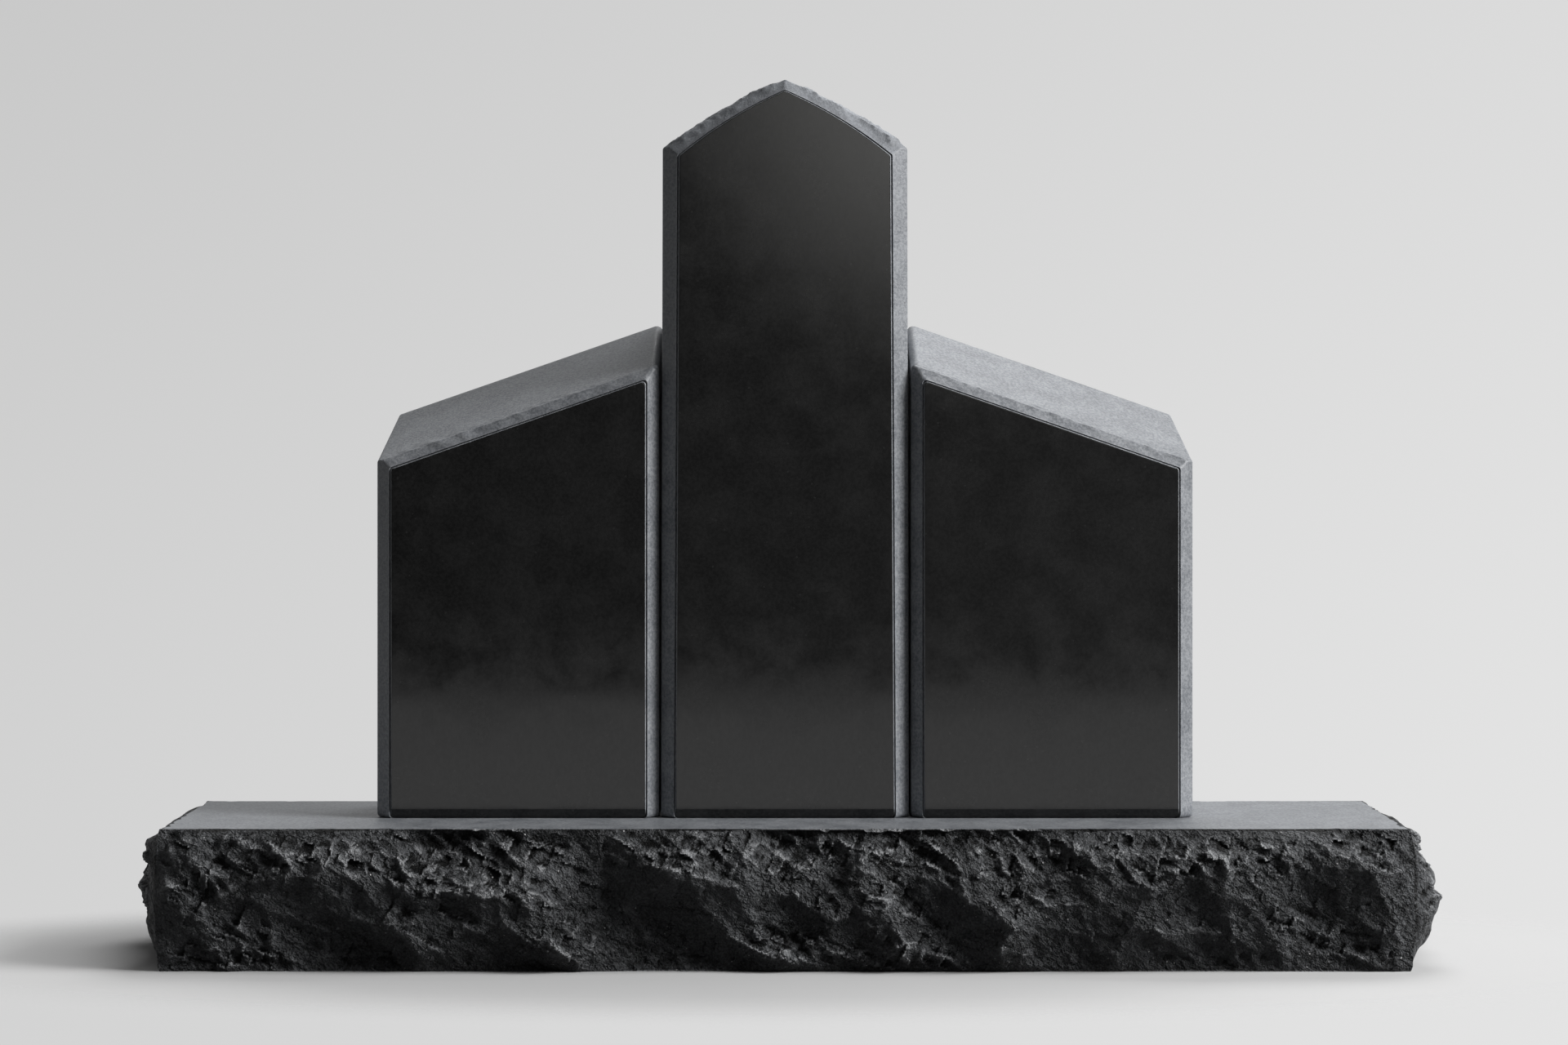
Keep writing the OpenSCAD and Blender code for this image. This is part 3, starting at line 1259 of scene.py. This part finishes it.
@dataclass
class Upright:
    """What the tablet and the wings share: a block with chamfered front edges and a proud panel.

    Attributes:
        node: The frame's node that it stands for.
        seed: Picks its chips.
        thickness: Thickness of the block.
        panel_proud: How far the panel stands past the block's front.
        panel_corner: Radius of the panel's corners.
        panel_arris: Radius of its rounded arris.
        groove: Width of the groove round the panel.
        groove_depth: Depth of the groove.
        bevel_height: Height of the bevel along the panel's foot.
        bevel_depth: How far back the bevel falls.
        chamfer_depth: How far the top chamfers run back from the front.
        side_chamfer_depth: How far the side chamfers run back.
        block_corner: Radius of the block's corners.
        foot_round: Radius of the rounded foot.
        back_round: Radius of the back's edges.
        point_pitch: Spacing of the points along a wing's top.
    """

    node: str
    seed: int
    thickness: float = UPRIGHT_THICKNESS
    panel_proud: float = 0.0025
    panel_corner: float = 0.005
    panel_arris: float = 0.0019
    groove: float = 0.0017
    groove_depth: float = 0.0062
    bevel_height: float = 0.014
    bevel_depth: float = 0.007
    chamfer_depth: float = 0.011
    side_chamfer_depth: float = 0.018
    block_corner: float = 0.006
    foot_round: float = 0.006
    back_round: float = 0.002
    point_pitch: float = 0.004

    def __post_init__(self) -> None:
        """Takes the stone's place from the frame."""
        low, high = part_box(self.node)
        self.foot = low[2]
        self.front = low[1] + self.panel_proud
        self.low_x, self.high_x = low[0], high[0]

    def side_shares(self, length: float) -> np.ndarray:
        """Shares of a side's run from foot to shoulder, close together at the rounded foot."""
        low = np.array([0.0, 0.05, 0.2, 0.5, 1.0]) * self.foot_round
        rest = np.linspace(self.foot_round, length, round(length / 0.010))[1:]
        return np.concatenate([low, rest]) / length

    def profile(self, chamfer: float) -> list[Ring]:
        """The rings of the block, from the groove round the panel to the back.

        Args:
            chamfer: Width of the chamfer, which insets are measured in.

        Returns:
            The rings.
        """
        start = chamfer - self.groove
        rings = [
            Ring(start + 0.0001, self.groove_depth, self.panel_corner, start + 0.0001),
            Ring(start, 0.0006, self.panel_corner, start),
            Ring(start - 0.0005, 0.0, self.panel_corner, start - 0.0005),
        ]
        deep = self.side_chamfer_depth
        top_edge = self.chamfer_depth / deep
        slope = np.concatenate([np.linspace(0.06, top_edge, 6), np.linspace(top_edge, 0.94, 4)[1:]])
        rings += [
            Ring(start * (1 - t), deep * t, self.panel_corner, start * max(0.0, 1 - t / top_edge))
            for t in slope
        ]
        rings += [
            Ring(0.0004, deep * 0.985, self.block_corner, 0.0),
            Ring(0.0, deep + 0.0012, self.block_corner, 0.0),
        ]
        first, last = deep + 0.0035, self.thickness - self.back_round
        rings += [
            Ring(0.0, back, self.block_corner, 0.0)
            for back in np.linspace(first, last, self.depth_rings())
        ]
        for turn in np.radians([30, 60, 90]):
            inset = self.back_round * (1 - math.cos(turn))
            back = last + self.back_round * math.sin(turn)
            rings.append(Ring(inset, back, self.block_corner, inset))
        inset = self.back_round + 0.001
        rings.append(Ring(inset, self.thickness, self.block_corner, inset))
        return rings

    def depth_rings(self) -> int:
        """How many rings there are between the chamfer and the back."""
        return 20

    def corners(self, ring: Ring) -> np.ndarray:
        """Corners of one ring.

        Args:
            ring: The ring.

        Returns:
            The corners from the left foot to the right one, as X and height above the foot.
        """
        raise NotImplementedError

    def path(self) -> Path:
        """How points are spread along a ring."""
        raise NotImplementedError

    def relief(
        self, along: np.ndarray, across: np.ndarray, ring: np.ndarray, top: np.ndarray
    ) -> np.ndarray:
        """How far each point moves along its normal, as worked by hand.

        Args:
            along: Distance along each ring.
            across: Distance from the first ring.
            ring: The ring's number.
            top: 1 on top, 0 on the sides.

        Returns:
            The distance, outwards.
        """
        raise NotImplementedError

    def chamfer(self) -> float:
        """Width of the chamfer at the foot."""
        raise NotImplementedError

    def finish_of(self, ring: np.ndarray, top: np.ndarray) -> np.ndarray:
        """The finish of each face of the block.

        Args:
            ring: The number of the face's ring.
            top: 1 on top, 0 on the sides.

        Returns:
            One number of Finish a face.
        """
        return np.full(ring.shape, int(Finish.HONED))

    def corner_radii(self, ring: Ring, count: int) -> list[float]:
        """Radii of a ring's corners between its two feet."""
        return [ring.corner] * count

    def ring_points(self) -> np.ndarray:
        """Points of the block's rings, ring by ring, with the foot at height 0."""
        path = self.path()
        loops = []
        for ring in self.profile(self.chamfer()):
            corners = self.corners(ring)
            flat = path.trace(corners, self.corner_radii(ring, len(corners) - 2))
            depth = np.full(len(flat), self.front + ring.back)
            loops.append(np.stack([flat[:, 0], depth, flat[:, 1]], axis=-1))
        return np.array(loops)

    def pinched(self, points: np.ndarray, middle: np.ndarray) -> np.ndarray:
        """Draws the foot in on all sides, so that its edge is rounded.

        Args:
            points: The block's points.
            middle: The block's middle.

        Returns:
            The points with a rounded foot.
        """
        low = np.clip(1 - points[..., 2] / self.foot_round, 0, 1)
        pinch = self.foot_round * (1 - np.sqrt(1 - low**2))
        x, y, z = np.moveaxis(points, -1, 0)
        half_x, half_y = (x.max() - x.min()) / 2, self.thickness / 2
        x = middle[0] + (x - middle[0]) * (1 - pinch / half_x)
        y = middle[1] + (y - middle[1]) * (1 - pinch / half_y)
        return np.stack([x, y, z], axis=-1)

    def worked(self, points: np.ndarray, middle: np.ndarray) -> np.ndarray:
        """Moves each point along its normal by the stone's relief.

        Args:
            points: The block's points.
            middle: The block's middle, which the normals point away from.

        Returns:
            The moved points.
        """
        run = np.linalg.norm(np.diff(points, axis=1), axis=-1)
        along = np.concatenate([np.zeros((len(points), 1)), np.cumsum(run, axis=1)], axis=1)
        step = np.linalg.norm(np.diff(points, axis=0), axis=-1)
        across = np.concatenate([np.zeros((1, points.shape[1])), np.cumsum(step, axis=0)])
        normal = np.cross(np.gradient(points, axis=0), np.gradient(points, axis=1))
        normal /= np.maximum(np.linalg.norm(normal, axis=-1, keepdims=True), 1e-12)
        normal *= np.sign((normal * (points - middle)).sum(axis=-1, keepdims=True))
        number = np.broadcast_to(np.arange(len(points))[:, None], along.shape)
        top = np.broadcast_to(self.path().on_top()[None], along.shape)
        return points + normal * self.relief(along, across, number, top)[..., None]

    def close(self, obj: bpy.types.Object, points: np.ndarray) -> None:
        """Closes the block's grid at its front, its back and its foot.

        Args:
            obj: The grid.
            points: Its points, ring by ring.
        """
        where = read_points(obj.data)
        front_row = self.matches(where, points[0])
        back_row = self.matches(where, points[-1])
        on_foot = self.matches(where, np.concatenate([points[:, 0], points[:, -1]]))
        for row in (front_row, back_row):
            fill_between(obj, row & on_foot)
            fill_between(obj, row)
        fill_between(obj, on_foot)

    def block(self) -> bpy.types.Object:
        """Builds the block behind and around the panel."""
        points = self.ring_points()
        x, z = points[..., 0], points[..., 2]
        depth = self.front + self.thickness / 2
        middle = np.array([(x.min() + x.max()) / 2, depth, z.max() / 2])
        points = self.worked(self.pinched(points, middle), middle)
        points[..., 2] += self.foot
        columns, rows = points.shape[1] - 1, points.shape[0] - 1
        obj = sheet(f"{self.node}_block", columns, rows, lambda c, r: points[r, c])
        obj.data.polygons.foreach_set("material_index", self.face_finishes(obj, points))
        self.close(obj, points)
        return obj

    @staticmethod
    def matches(where: np.ndarray, points: np.ndarray) -> np.ndarray:
        """True for each vertex that lies on one of the points."""
        keys = {tuple(p) for p in np.rint(points * 1e7).astype(np.int64).tolist()}
        rounded = np.rint(where.astype(np.float32).astype(float) * 1e7).astype(np.int64)
        near = {
            (x + i, y + j, z + k)
            for x, y, z in keys
            for i, j, k in itertools.product((-1, 0, 1), repeat=3)
        }
        return np.array([tuple(p) in near for p in rounded.tolist()])

    def face_finishes(self, obj: bpy.types.Object, points: np.ndarray) -> np.ndarray:
        """The material of each face of the block's grid.

        Args:
            obj: The grid, whose vertices run along the rings.
            points: Its points, ring by ring.

        Returns:
            One material number a face.
        """
        count = points.shape[1]
        first = np.empty(len(obj.data.polygons), np.int32)
        obj.data.polygons.foreach_get("loop_start", first)
        corner = np.empty(len(obj.data.loops), np.int32)
        obj.data.loops.foreach_get("vertex_index", corner)
        vertex = corner[first]
        return self.finish_of(vertex // count, self.path().on_top()[vertex % count])

    def panel_outline(self, inset: float, radius: float) -> np.ndarray:
        """The panel's closed outline.

        Args:
            inset: How far the outline lies inside the panel's edge.
            radius: Radius of its corners.

        Returns:
            The points of its corners' arcs, as X and height above the foot.
        """
        raise NotImplementedError

    def panel_points(self) -> np.ndarray:
        """Points of the panel's closed rings, from its face over its arris into the groove."""
        rings = [(self.panel_arris + 0.0005, -self.panel_proud)]
        for turn in np.radians([90, 67.5, 45, 22.5, 0]):
            inset = self.panel_arris * (1 - math.cos(turn))
            rings.append((inset, self.panel_arris * (1 - math.sin(turn)) - self.panel_proud))
        rings.append((0.0, self.groove_depth + 0.0003))
        loops = []
        for inset, back in rings:
            flat = self.panel_outline(inset, self.panel_corner)
            depth = np.full(len(flat), self.front + back)
            loops.append(np.stack([flat[:, 0], depth, flat[:, 1]], axis=-1))
        points = np.array(loops)
        points = np.concatenate([points, points[:, :1]], axis=1)
        points[..., 2] += self.foot
        return points

    def bevel(self, obj: bpy.types.Object) -> None:
        """Cuts the panel at the bevel's height and slopes its face back below the cut."""
        height = self.foot + self.bevel_height
        select_points(obj, np.ones(len(obj.data.vertices), bool))
        bpy.ops.mesh.bisect(plane_co=(0, 0, height), plane_no=(0, 0, 1), use_fill=False)
        bpy.ops.object.mode_set(mode="OBJECT")
        where = read_points(obj.data)
        low = np.clip(height - where[:, 2], 0, None)
        in_front = where[:, 1] < self.front + self.groove_depth
        where[:, 1] += np.where(in_front, low * self.bevel_depth / self.bevel_height, 0)
        write_points(obj.data, where)

    def panel(self) -> bpy.types.Object:
        """Builds the polished plate with its rounded arris and the bevel along its foot."""
        points = self.panel_points()
        columns, rows = points.shape[1] - 1, points.shape[0] - 1
        name = f"{self.node}_panel"
        obj = joined([sheet(name, columns, rows, lambda c, r: points[r, c])], name)
        where = read_points(obj.data)
        for row in (0, -1):
            fill_between(obj, self.matches(where, points[row]))
        self.bevel(obj)
        turn_outwards(obj)
        facing = np.empty(len(obj.data.polygons) * 3, np.float32)
        obj.data.polygons.foreach_get("normal", facing)
        facing = facing.reshape(-1, 3)
        eased_edge = (facing[:, 1] > -0.9) & (facing[:, 2] > -0.3)
        obj.data.polygons.foreach_set(
            "material_index", np.where(eased_edge, int(Finish.HONED), int(Finish.POLISHED))
        )
        return obj

    def build(self, materials: Sequence[bpy.types.Material]) -> bpy.types.Object:
        """Builds the stone: block and panel in one object.

        Args:
            materials: The stone's materials, in the order of Finish.

        Returns:
            The stone.
        """
        block, panel = self.block(), self.panel()
        for part, sharp in ((block, 30), (panel, 25)):
            finish_mesh(part, sharp)
            dress(part, materials)
        pick(block, panel)
        bpy.ops.object.join()
        stone = bpy.context.object
        stone.name = stone.data.name = f"{self.node}_stone"
        deselect()
        return stone


class Side(Enum):
    """Which side of the centre tablet a wing stands on."""

    LEFT = -1
    RIGHT = 1


@dataclass
class Wing(Upright):
    """A lower stone whose top falls outwards and rises to the back.

    Attributes:
        side: Which side of the tablet it stands on.
        width: Width at the foot.
        inner_height: Height of the front arris's line at the inner side.
        fall: Slope of the top outwards.
        rise: Slope of the top to the back.
        side_chamfer: Width of the inner side's chamfer.
        outer_chamfer: Width of the outer side's chamfer.
        outer_taper: How much narrower the stone is at its back.
        band: Height of the chamfer over the panel.
        inner_round: Radius of the top's inner corner behind the chamfer.
        chips: The chips along the top chamfer.
    """

    side: Side = Side.RIGHT
    width: float = 0.424
    inner_height: float = 0.681
    fall: float = math.tan(math.radians(19.1))
    rise: float = math.tan(math.radians(20.0))
    side_chamfer: float = 0.019
    outer_chamfer: float = 0.0225
    outer_taper: float = 0.012
    band: float = 0.0172
    inner_round: float = 0.010
    chips: Chips = Chips(0.020, 0.012, 0.10, 0.0006, 0.08, dip=20)

    def chamfer(self) -> float:
        """Width of the side chamfers."""
        return self.side_chamfer

    def inner(self) -> float:
        """X of the side next to the tablet."""
        return self.low_x if self.side is Side.RIGHT else self.high_x

    def outline(
        self, near: float, far: float, foot: float, top: float, inset: float = 0.0
    ) -> np.ndarray:
        """The four corners of an outline whose top falls outwards.

        Args:
            near: Distance of its inner side from the stone's.
            far: Distance of its outer side from there.
            foot: Its lowest height.
            top: Height of its top's line above the stone's inner side.
            inset: How much further in both sides stand, under the same top.

        Returns:
            The corners as X and height, from left to right.
        """
        sign = self.side.value
        inner = self.inner() + sign * (near + inset)
        outer = self.inner() + sign * (far - inset)
        corners = [
            [inner, foot],
            [inner, top - self.fall * near],
            [outer, top - self.fall * far],
            [outer, foot],
        ]
        return np.array(corners if self.side is Side.RIGHT else corners[::-1])

    def corners(self, ring: Ring) -> np.ndarray:
        """Corners of one ring, as X and height above the foot."""
        behind = max(ring.back - self.chamfer_depth, 0)
        past_side = max(ring.back - self.side_chamfer_depth, 0)
        in_front = ring.back < self.side_chamfer_depth
        top = self.inner_height + self.rise * behind
        top -= ring.top_inset * self.band / self.side_chamfer
        far = self.width - ring.inset * (self.outer_chamfer / self.side_chamfer if in_front else 1)
        far -= self.outer_taper * past_side / (self.thickness - self.side_chamfer_depth)
        return self.outline(ring.inset, far, 0.0, top)

    def corner_radii(self, ring: Ring, count: int) -> list[float]:
        """The corner next to the tablet is rounder towards the back."""
        in_front = ring.inset > 0.001 and ring.back < self.side_chamfer_depth
        both = [ring.corner if in_front else self.inner_round, ring.corner]
        return both if self.side is Side.RIGHT else both[::-1]

    def path(self) -> Path:
        """How points are spread along a ring."""
        inner = self.side_shares(self.inner_height)
        outer = self.side_shares(self.inner_height - self.fall * self.width)
        top = np.linspace(0, 1, round(self.width / self.point_pitch))
        up, down = (inner, outer) if self.side is Side.RIGHT else (outer, inner)
        return Path([up, top, 1 - down[::-1]], [0.0, 0.0, 0.0])

    def relief(
        self, along: np.ndarray, across: np.ndarray, ring: np.ndarray, top: np.ndarray
    ) -> np.ndarray:
        """Chips along the top chamfer, and a slightly uneven arris above it."""
        chips = self.chips.carve(along, across, self.seed)
        wave = 0.0009 * fractal_noise(np.stack([along / 0.03, across / 0.02], -1), self.seed + 5, 3)
        at_chamfer = eased((ring - 2) / 3.0) * eased((16 - ring) / 3.0)
        return (chips + wave) * at_chamfer * top

    def panel_outline(self, inset: float, radius: float) -> np.ndarray:
        """The panel's closed outline, inset a little for its arris."""
        top = self.inner_height - self.band - inset * 1.2
        far = self.width - self.outer_chamfer
        return closed_outline(self.outline(self.side_chamfer, far, inset, top, inset), radius)


@dataclass
class CentreTablet(Upright):
    """The tall stone with the pointed, rock-pitched gable.

    Attributes:
        width: Width at the foot.
        taper: How far each side leans in up to the shoulder.
        shoulder: Height of the shoulders.
        gable_rise: Height of the point over the shoulders.
        bow: How far each slope of the gable bows out.
        side_chamfer: Width of the side chamfers at the foot.
        spread: How much wider they are at the shoulder.
        point_band: Height of the band between the panel's point and the gable's.
        shoulder_drop: How far the panel's shoulders lie under the stone's.
        raised: How far the pitched face stands out before it is chipped.
        chips: The gable's chips, from large to fine.
    """

    width: float = 0.373
    taper: float = 0.0025
    shoulder: float = 1.007
    gable_rise: float = 0.102
    bow: float = 0.006
    side_chamfer: float = 0.022
    spread: float = 0.003
    point_band: float = 0.017
    shoulder_drop: float = 0.0123
    raised: float = 0.0020
    chips: tuple[Chips, ...] = (
        Chips(0.050, 0.045, 0.07, 0.0015, 0.07, dip=15),
        Chips(0.018, 0.013, 0.18, 0.0008, 0.18, dip=15),
        Chips(0.009, 0.006, 0.26, 0.0003, 0.26, dip=15),
    )

    def chamfer(self) -> float:
        """Width of the side chamfers at the foot."""
        return self.side_chamfer

    def depth_rings(self) -> int:
        """The gable's broken face needs closer rings."""
        return 44

    def corners_at(self, inset: float, top_inset: float) -> np.ndarray:
        """Corners of an outline inside the block's own.

        Args:
            inset: How far in it lies at the sides.
            top_inset: How far in it lies at the top, measured in side chamfers.

        Returns:
            The corners from the left foot to the right one, as X and height above the foot.
        """
        share, top_share = inset / self.side_chamfer, top_inset / self.side_chamfer
        foot = self.width / 2 - inset
        half = self.width / 2 - self.taper - (self.side_chamfer + self.spread) * share
        shoulder = self.shoulder - self.shoulder_drop * top_share
        point = self.shoulder + self.gable_rise - self.point_band * top_share
        return np.array(
            [[-foot, 0.0], [-half, shoulder], [0.0, point], [half, shoulder], [foot, 0.0]]
        )

    def corners(self, ring: Ring) -> np.ndarray:
        """Corners of one ring, as X and height above the foot."""
        return self.corners_at(ring.inset, ring.top_inset)

    def path(self) -> Path:
        """How points are spread along a ring."""
        side = self.side_shares(self.shoulder)
        slope = np.linspace(0, 1, 72)
        return Path([side, slope, slope, 1 - side[::-1]], [0.0, self.bow, self.bow, 0.0])

    def relief(
        self, along: np.ndarray, across: np.ndarray, ring: np.ndarray, top: np.ndarray
    ) -> np.ndarray:
        """Rock-pitched gable: flakes over its face and down the band above the panel."""
        carved = np.full(along.shape, self.raised)
        for k, chips in enumerate(self.chips):
            carved += chips.carve(along, across, self.seed + 10 * k)
        middle = along[:, along.shape[1] // 2][:, None]
        carved = carved * (0.3 + 0.7 * eased((np.abs(along - middle) - 0.004) / 0.02))
        first, last = np.flatnonzero(top[0] > 0.99)[[0, -1]]
        to_end = np.minimum(along - along[:, [first]], along[:, [last]] - along)
        carved = carved * (0.1 + 0.9 * eased(to_end / 0.022))
        inward = eased((ring - 2) / 7.0)
        return carved * inward * top

    def finish_of(self, ring: np.ndarray, top: np.ndarray) -> np.ndarray:
        """The gable is pitched, the rest honed."""
        return np.where((top > 0.5) & (ring >= 2), int(Finish.BROKEN), int(Finish.HONED))

    def panel_outline(self, inset: float, radius: float) -> np.ndarray:
        """The panel's closed outline, with its bowed gable."""
        corners = self.corners_at(self.side_chamfer + inset, self.side_chamfer + inset)
        corners[0, 1] = corners[-1, 1] = inset
        return closed_outline(corners, radius, bowed=(1, 2), bow=self.bow)


# ---------------------------------------------------------------------------
# The studio
# ---------------------------------------------------------------------------


@dataclass
class Lamp:
    """One soft area lamp, aimed at a point of the monument."""

    name: str
    place: tuple[float, float, float]
    size: float
    power: float
    aim: tuple[float, float, float] = (0.0, 0.0, 0.5)
    warmth: float = 0.0

    def build(self) -> None:
        """Adds the lamp."""
        deselect()
        bpy.ops.object.light_add(type="AREA", location=self.place)
        lamp = bpy.context.object
        lamp.name = self.name
        lamp.data.shape = "DISK"
        lamp.data.size = self.size
        lamp.data.energy = self.power
        lamp.data.color = (1.0, 1.0 - 0.1 * self.warmth, 1.0 - 0.25 * self.warmth)
        lamp.visible_camera = False
        way = Vector(self.aim) - Vector(self.place)
        lamp.rotation_euler = way.to_track_quat("-Z", "Y").to_euler()


@dataclass
class Studio:
    """Pale floor, pale surroundings, soft lamps and the camera."""

    pale: float = 0.66
    fill: float = 0.06
    floor_size: float = 40.0
    floor_albedo: float = 0.74
    floor_bounce: float = 0.08
    # Colour, place and reach of the painted highlight on the card that only reflections see.
    painted_highlight: tuple[float, float, float, float] = (1.9, 1.89, 1.84, 1.0)
    painted_highlight_place: tuple[float, float, float] = (0.66, REFLECTION_CARD_Y, 2.1)
    painted_highlight_reach: float = 1.25
    reflection_card_reach: float = 9.0
    reflection_card_height: float = 8.0
    camera_place: tuple[float, float, float] = (0.0, -5.1555, 0.747)
    camera_lens: float = 78.1
    camera_shift: tuple[float, float] = (-0.0006, -0.0409)
    lamps: tuple[Lamp, ...] = (
        Lamp("key_lamp", (11.4, -3.45, 6.7), 6.5, 2300.0),
        Lamp("top_lamp", (1.0, 2.4, 5.4), 3.6, 125.0),
    )

    def floor(self) -> None:
        """Lays the floor, which turns into the pale surroundings far from the stones."""
        deselect()
        bpy.ops.mesh.primitive_circle_add(vertices=96, radius=self.floor_size, fill_type="NGON")
        floor = bpy.context.object
        floor.name = "studio_floor"
        material = bpy.data.materials.new("pale_floor")
        material.use_nodes = True
        nodes = Nodes(material.node_tree)
        place = nodes.add("ShaderNodeTexCoord").outputs["Object"]
        oval = nodes.add(
            "ShaderNodeVectorMath", {"operation": "MULTIPLY"}, i0=place, i1=(1.0, 2.2, 1.0)
        )
        reach = nodes.add("ShaderNodeVectorMath", {"operation": "LENGTH"}, i0=oval.outputs[0])
        bounce = nodes.add("ShaderNodeLightPath").outputs["Is Diffuse Ray"]
        colour = nodes.blend(bounce, grey(self.floor_albedo), grey(self.floor_bounce))
        matt = nodes.add("ShaderNodeBsdfDiffuse", Color=colour)
        clear = nodes.add("ShaderNodeBsdfTransparent")
        far = nodes.ramp(reach.outputs["Value"], 0.93, 1.55)
        both = nodes.add("ShaderNodeMixShader", i0=far, i1=matt.outputs[0], i2=clear.outputs[0])
        nodes.add("ShaderNodeOutputMaterial", Surface=both.outputs[0])
        floor.data.materials.append(material)

    def surroundings(self) -> None:
        """Sets the world: pale to the eye and in reflections, dim as a light, with painted light
        making it lighter towards the right and darker upwards.
        """
        world = bpy.data.worlds.new("studio")
        world.use_nodes = True
        bpy.context.scene.world = world
        nodes = Nodes(world.node_tree)
        ray = nodes.add("ShaderNodeLightPath")
        seen = nodes.maths("MAXIMUM", ray.outputs["Is Camera Ray"], ray.outputs["Is Glossy Ray"])
        seen = nodes.maths("MAXIMUM", seen, ray.outputs["Is Transmission Ray"])
        towards = nodes.add("ShaderNodeTexCoord").outputs["Generated"]
        way = nodes.add("ShaderNodeSeparateXYZ", i0=towards)
        # Painted light on the backdrop: lighter towards the right and darker upwards.
        across = nodes.ramp(way.outputs[0], -0.5, 0.5)
        level = nodes.blend(across, grey(self.pale - 0.045), grey(self.pale + 0.15))
        above = nodes.ramp(way.outputs[2], -0.16, 0.25)
        level = nodes.blend(
            above, level, nodes.blend(across, grey(self.pale - 0.13), grey(self.pale + 0.07))
        )
        colour = nodes.blend(seen, grey(self.fill), level)
        sky = nodes.add("ShaderNodeBackground", Color=colour, Strength=1.0)
        nodes.add("ShaderNodeOutputWorld", Surface=sky.outputs[0])

    def reflection_card(self) -> None:
        """Hangs a card in front that only reflections see, so that the panels reflect it: a painted
        reflection, dark grey and lighter to the right, with a glowing patch as a painted highlight.
        """
        deselect()
        bpy.ops.mesh.primitive_plane_add(size=1, location=(0, 0, 0))
        reflection_card = bpy.context.object
        reflection_card.name = "painted_reflection_card"
        x = np.array([-1, 1, -1, 1]) * self.reflection_card_reach
        z = np.array([0, 0, 1, 1]) * self.reflection_card_height
        write_points(reflection_card.data, np.stack([x, np.full(4, REFLECTION_CARD_Y), z], axis=-1))
        material = bpy.data.materials.new("painted_reflection")
        material.use_nodes = True
        nodes = Nodes(material.node_tree)
        place = nodes.add("ShaderNodeTexCoord").outputs["Object"]
        across = nodes.add("ShaderNodeSeparateXYZ", i0=place).outputs[0]
        # Painted reflection: a dark grey sheen, lighter to the right.
        painted_dark_reflection = nodes.blend(nodes.ramp(across, -2.0, 2.4), grey(0.08), grey(0.24))
        away = nodes.add(
            "ShaderNodeVectorMath", {"operation": "DISTANCE"}, i0=place, i1=self.painted_highlight_place
        ).outputs["Value"]
        # Painted highlight: a glowing patch that no lamp casts, seen only in the panels' reflections.
        painted_highlight = nodes.blend(nodes.ramp(away, self.painted_highlight_reach, 0.1), painted_dark_reflection, self.painted_highlight)
        shine = nodes.add("ShaderNodeEmission", Color=painted_highlight, Strength=1.0)
        nodes.add("ShaderNodeOutputMaterial", Surface=shine.outputs[0])
        reflection_card.data.materials.append(material)
        reflection_card.visible_camera = reflection_card.visible_diffuse = reflection_card.visible_shadow = False
        reflection_card.visible_transmission = False

    def camera(self) -> None:
        """Sets the level camera in front of the monument."""
        data = bpy.data.cameras.new("camera")
        camera = bpy.data.objects.new("camera", data)
        bpy.context.scene.collection.objects.link(camera)
        camera.location = self.camera_place
        camera.rotation_euler = (math.pi / 2, 0, 0)
        data.sensor_width = 36.0
        data.lens = self.camera_lens
        data.shift_x, data.shift_y = self.camera_shift
        data.clip_end = 200.0
        bpy.context.scene.camera = camera

    def build(self) -> None:
        """Sets up the whole studio."""
        scene = bpy.context.scene
        scene.view_settings.view_transform = "Standard"
        self.floor()
        self.surroundings()
        self.reflection_card()
        for lamp in self.lamps:
            lamp.build()
        self.camera()


# ---------------------------------------------------------------------------
# Putting it together
# ---------------------------------------------------------------------------


def tie(stone: bpy.types.Object, node: str) -> None:
    """Ties a finished stone to the frame.

    Args:
        stone: The finished mesh.
        node: The node of the frame that it stands for.
    """
    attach(stone, "root")
    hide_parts(node)
    triangles = sum(len(face.vertices) - 2 for face in stone.data.polygons)
    log.info("%s stands for %s, %d triangles", stone.name, node, triangles)


def main() -> None:
    """Builds the studio and the four stones."""
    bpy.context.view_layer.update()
    Studio().build()
    grain = stone_grain()
    honed, polished, pitched, rock = (look.build(grain) for look in (HONED, POLISHED, PITCHED, ROCK))
    tie(Base().build((honed, polished, rock)), "base")
    for upright in (
        CentreTablet("centre_tablet", 83),
        Wing("left_wing", 101, side=Side.LEFT),
        Wing("right_wing", 131, side=Side.RIGHT),
    ):
        tie(upright.build((honed, polished, pitched)), upright.node)


if __name__ == "__main__":
    main()
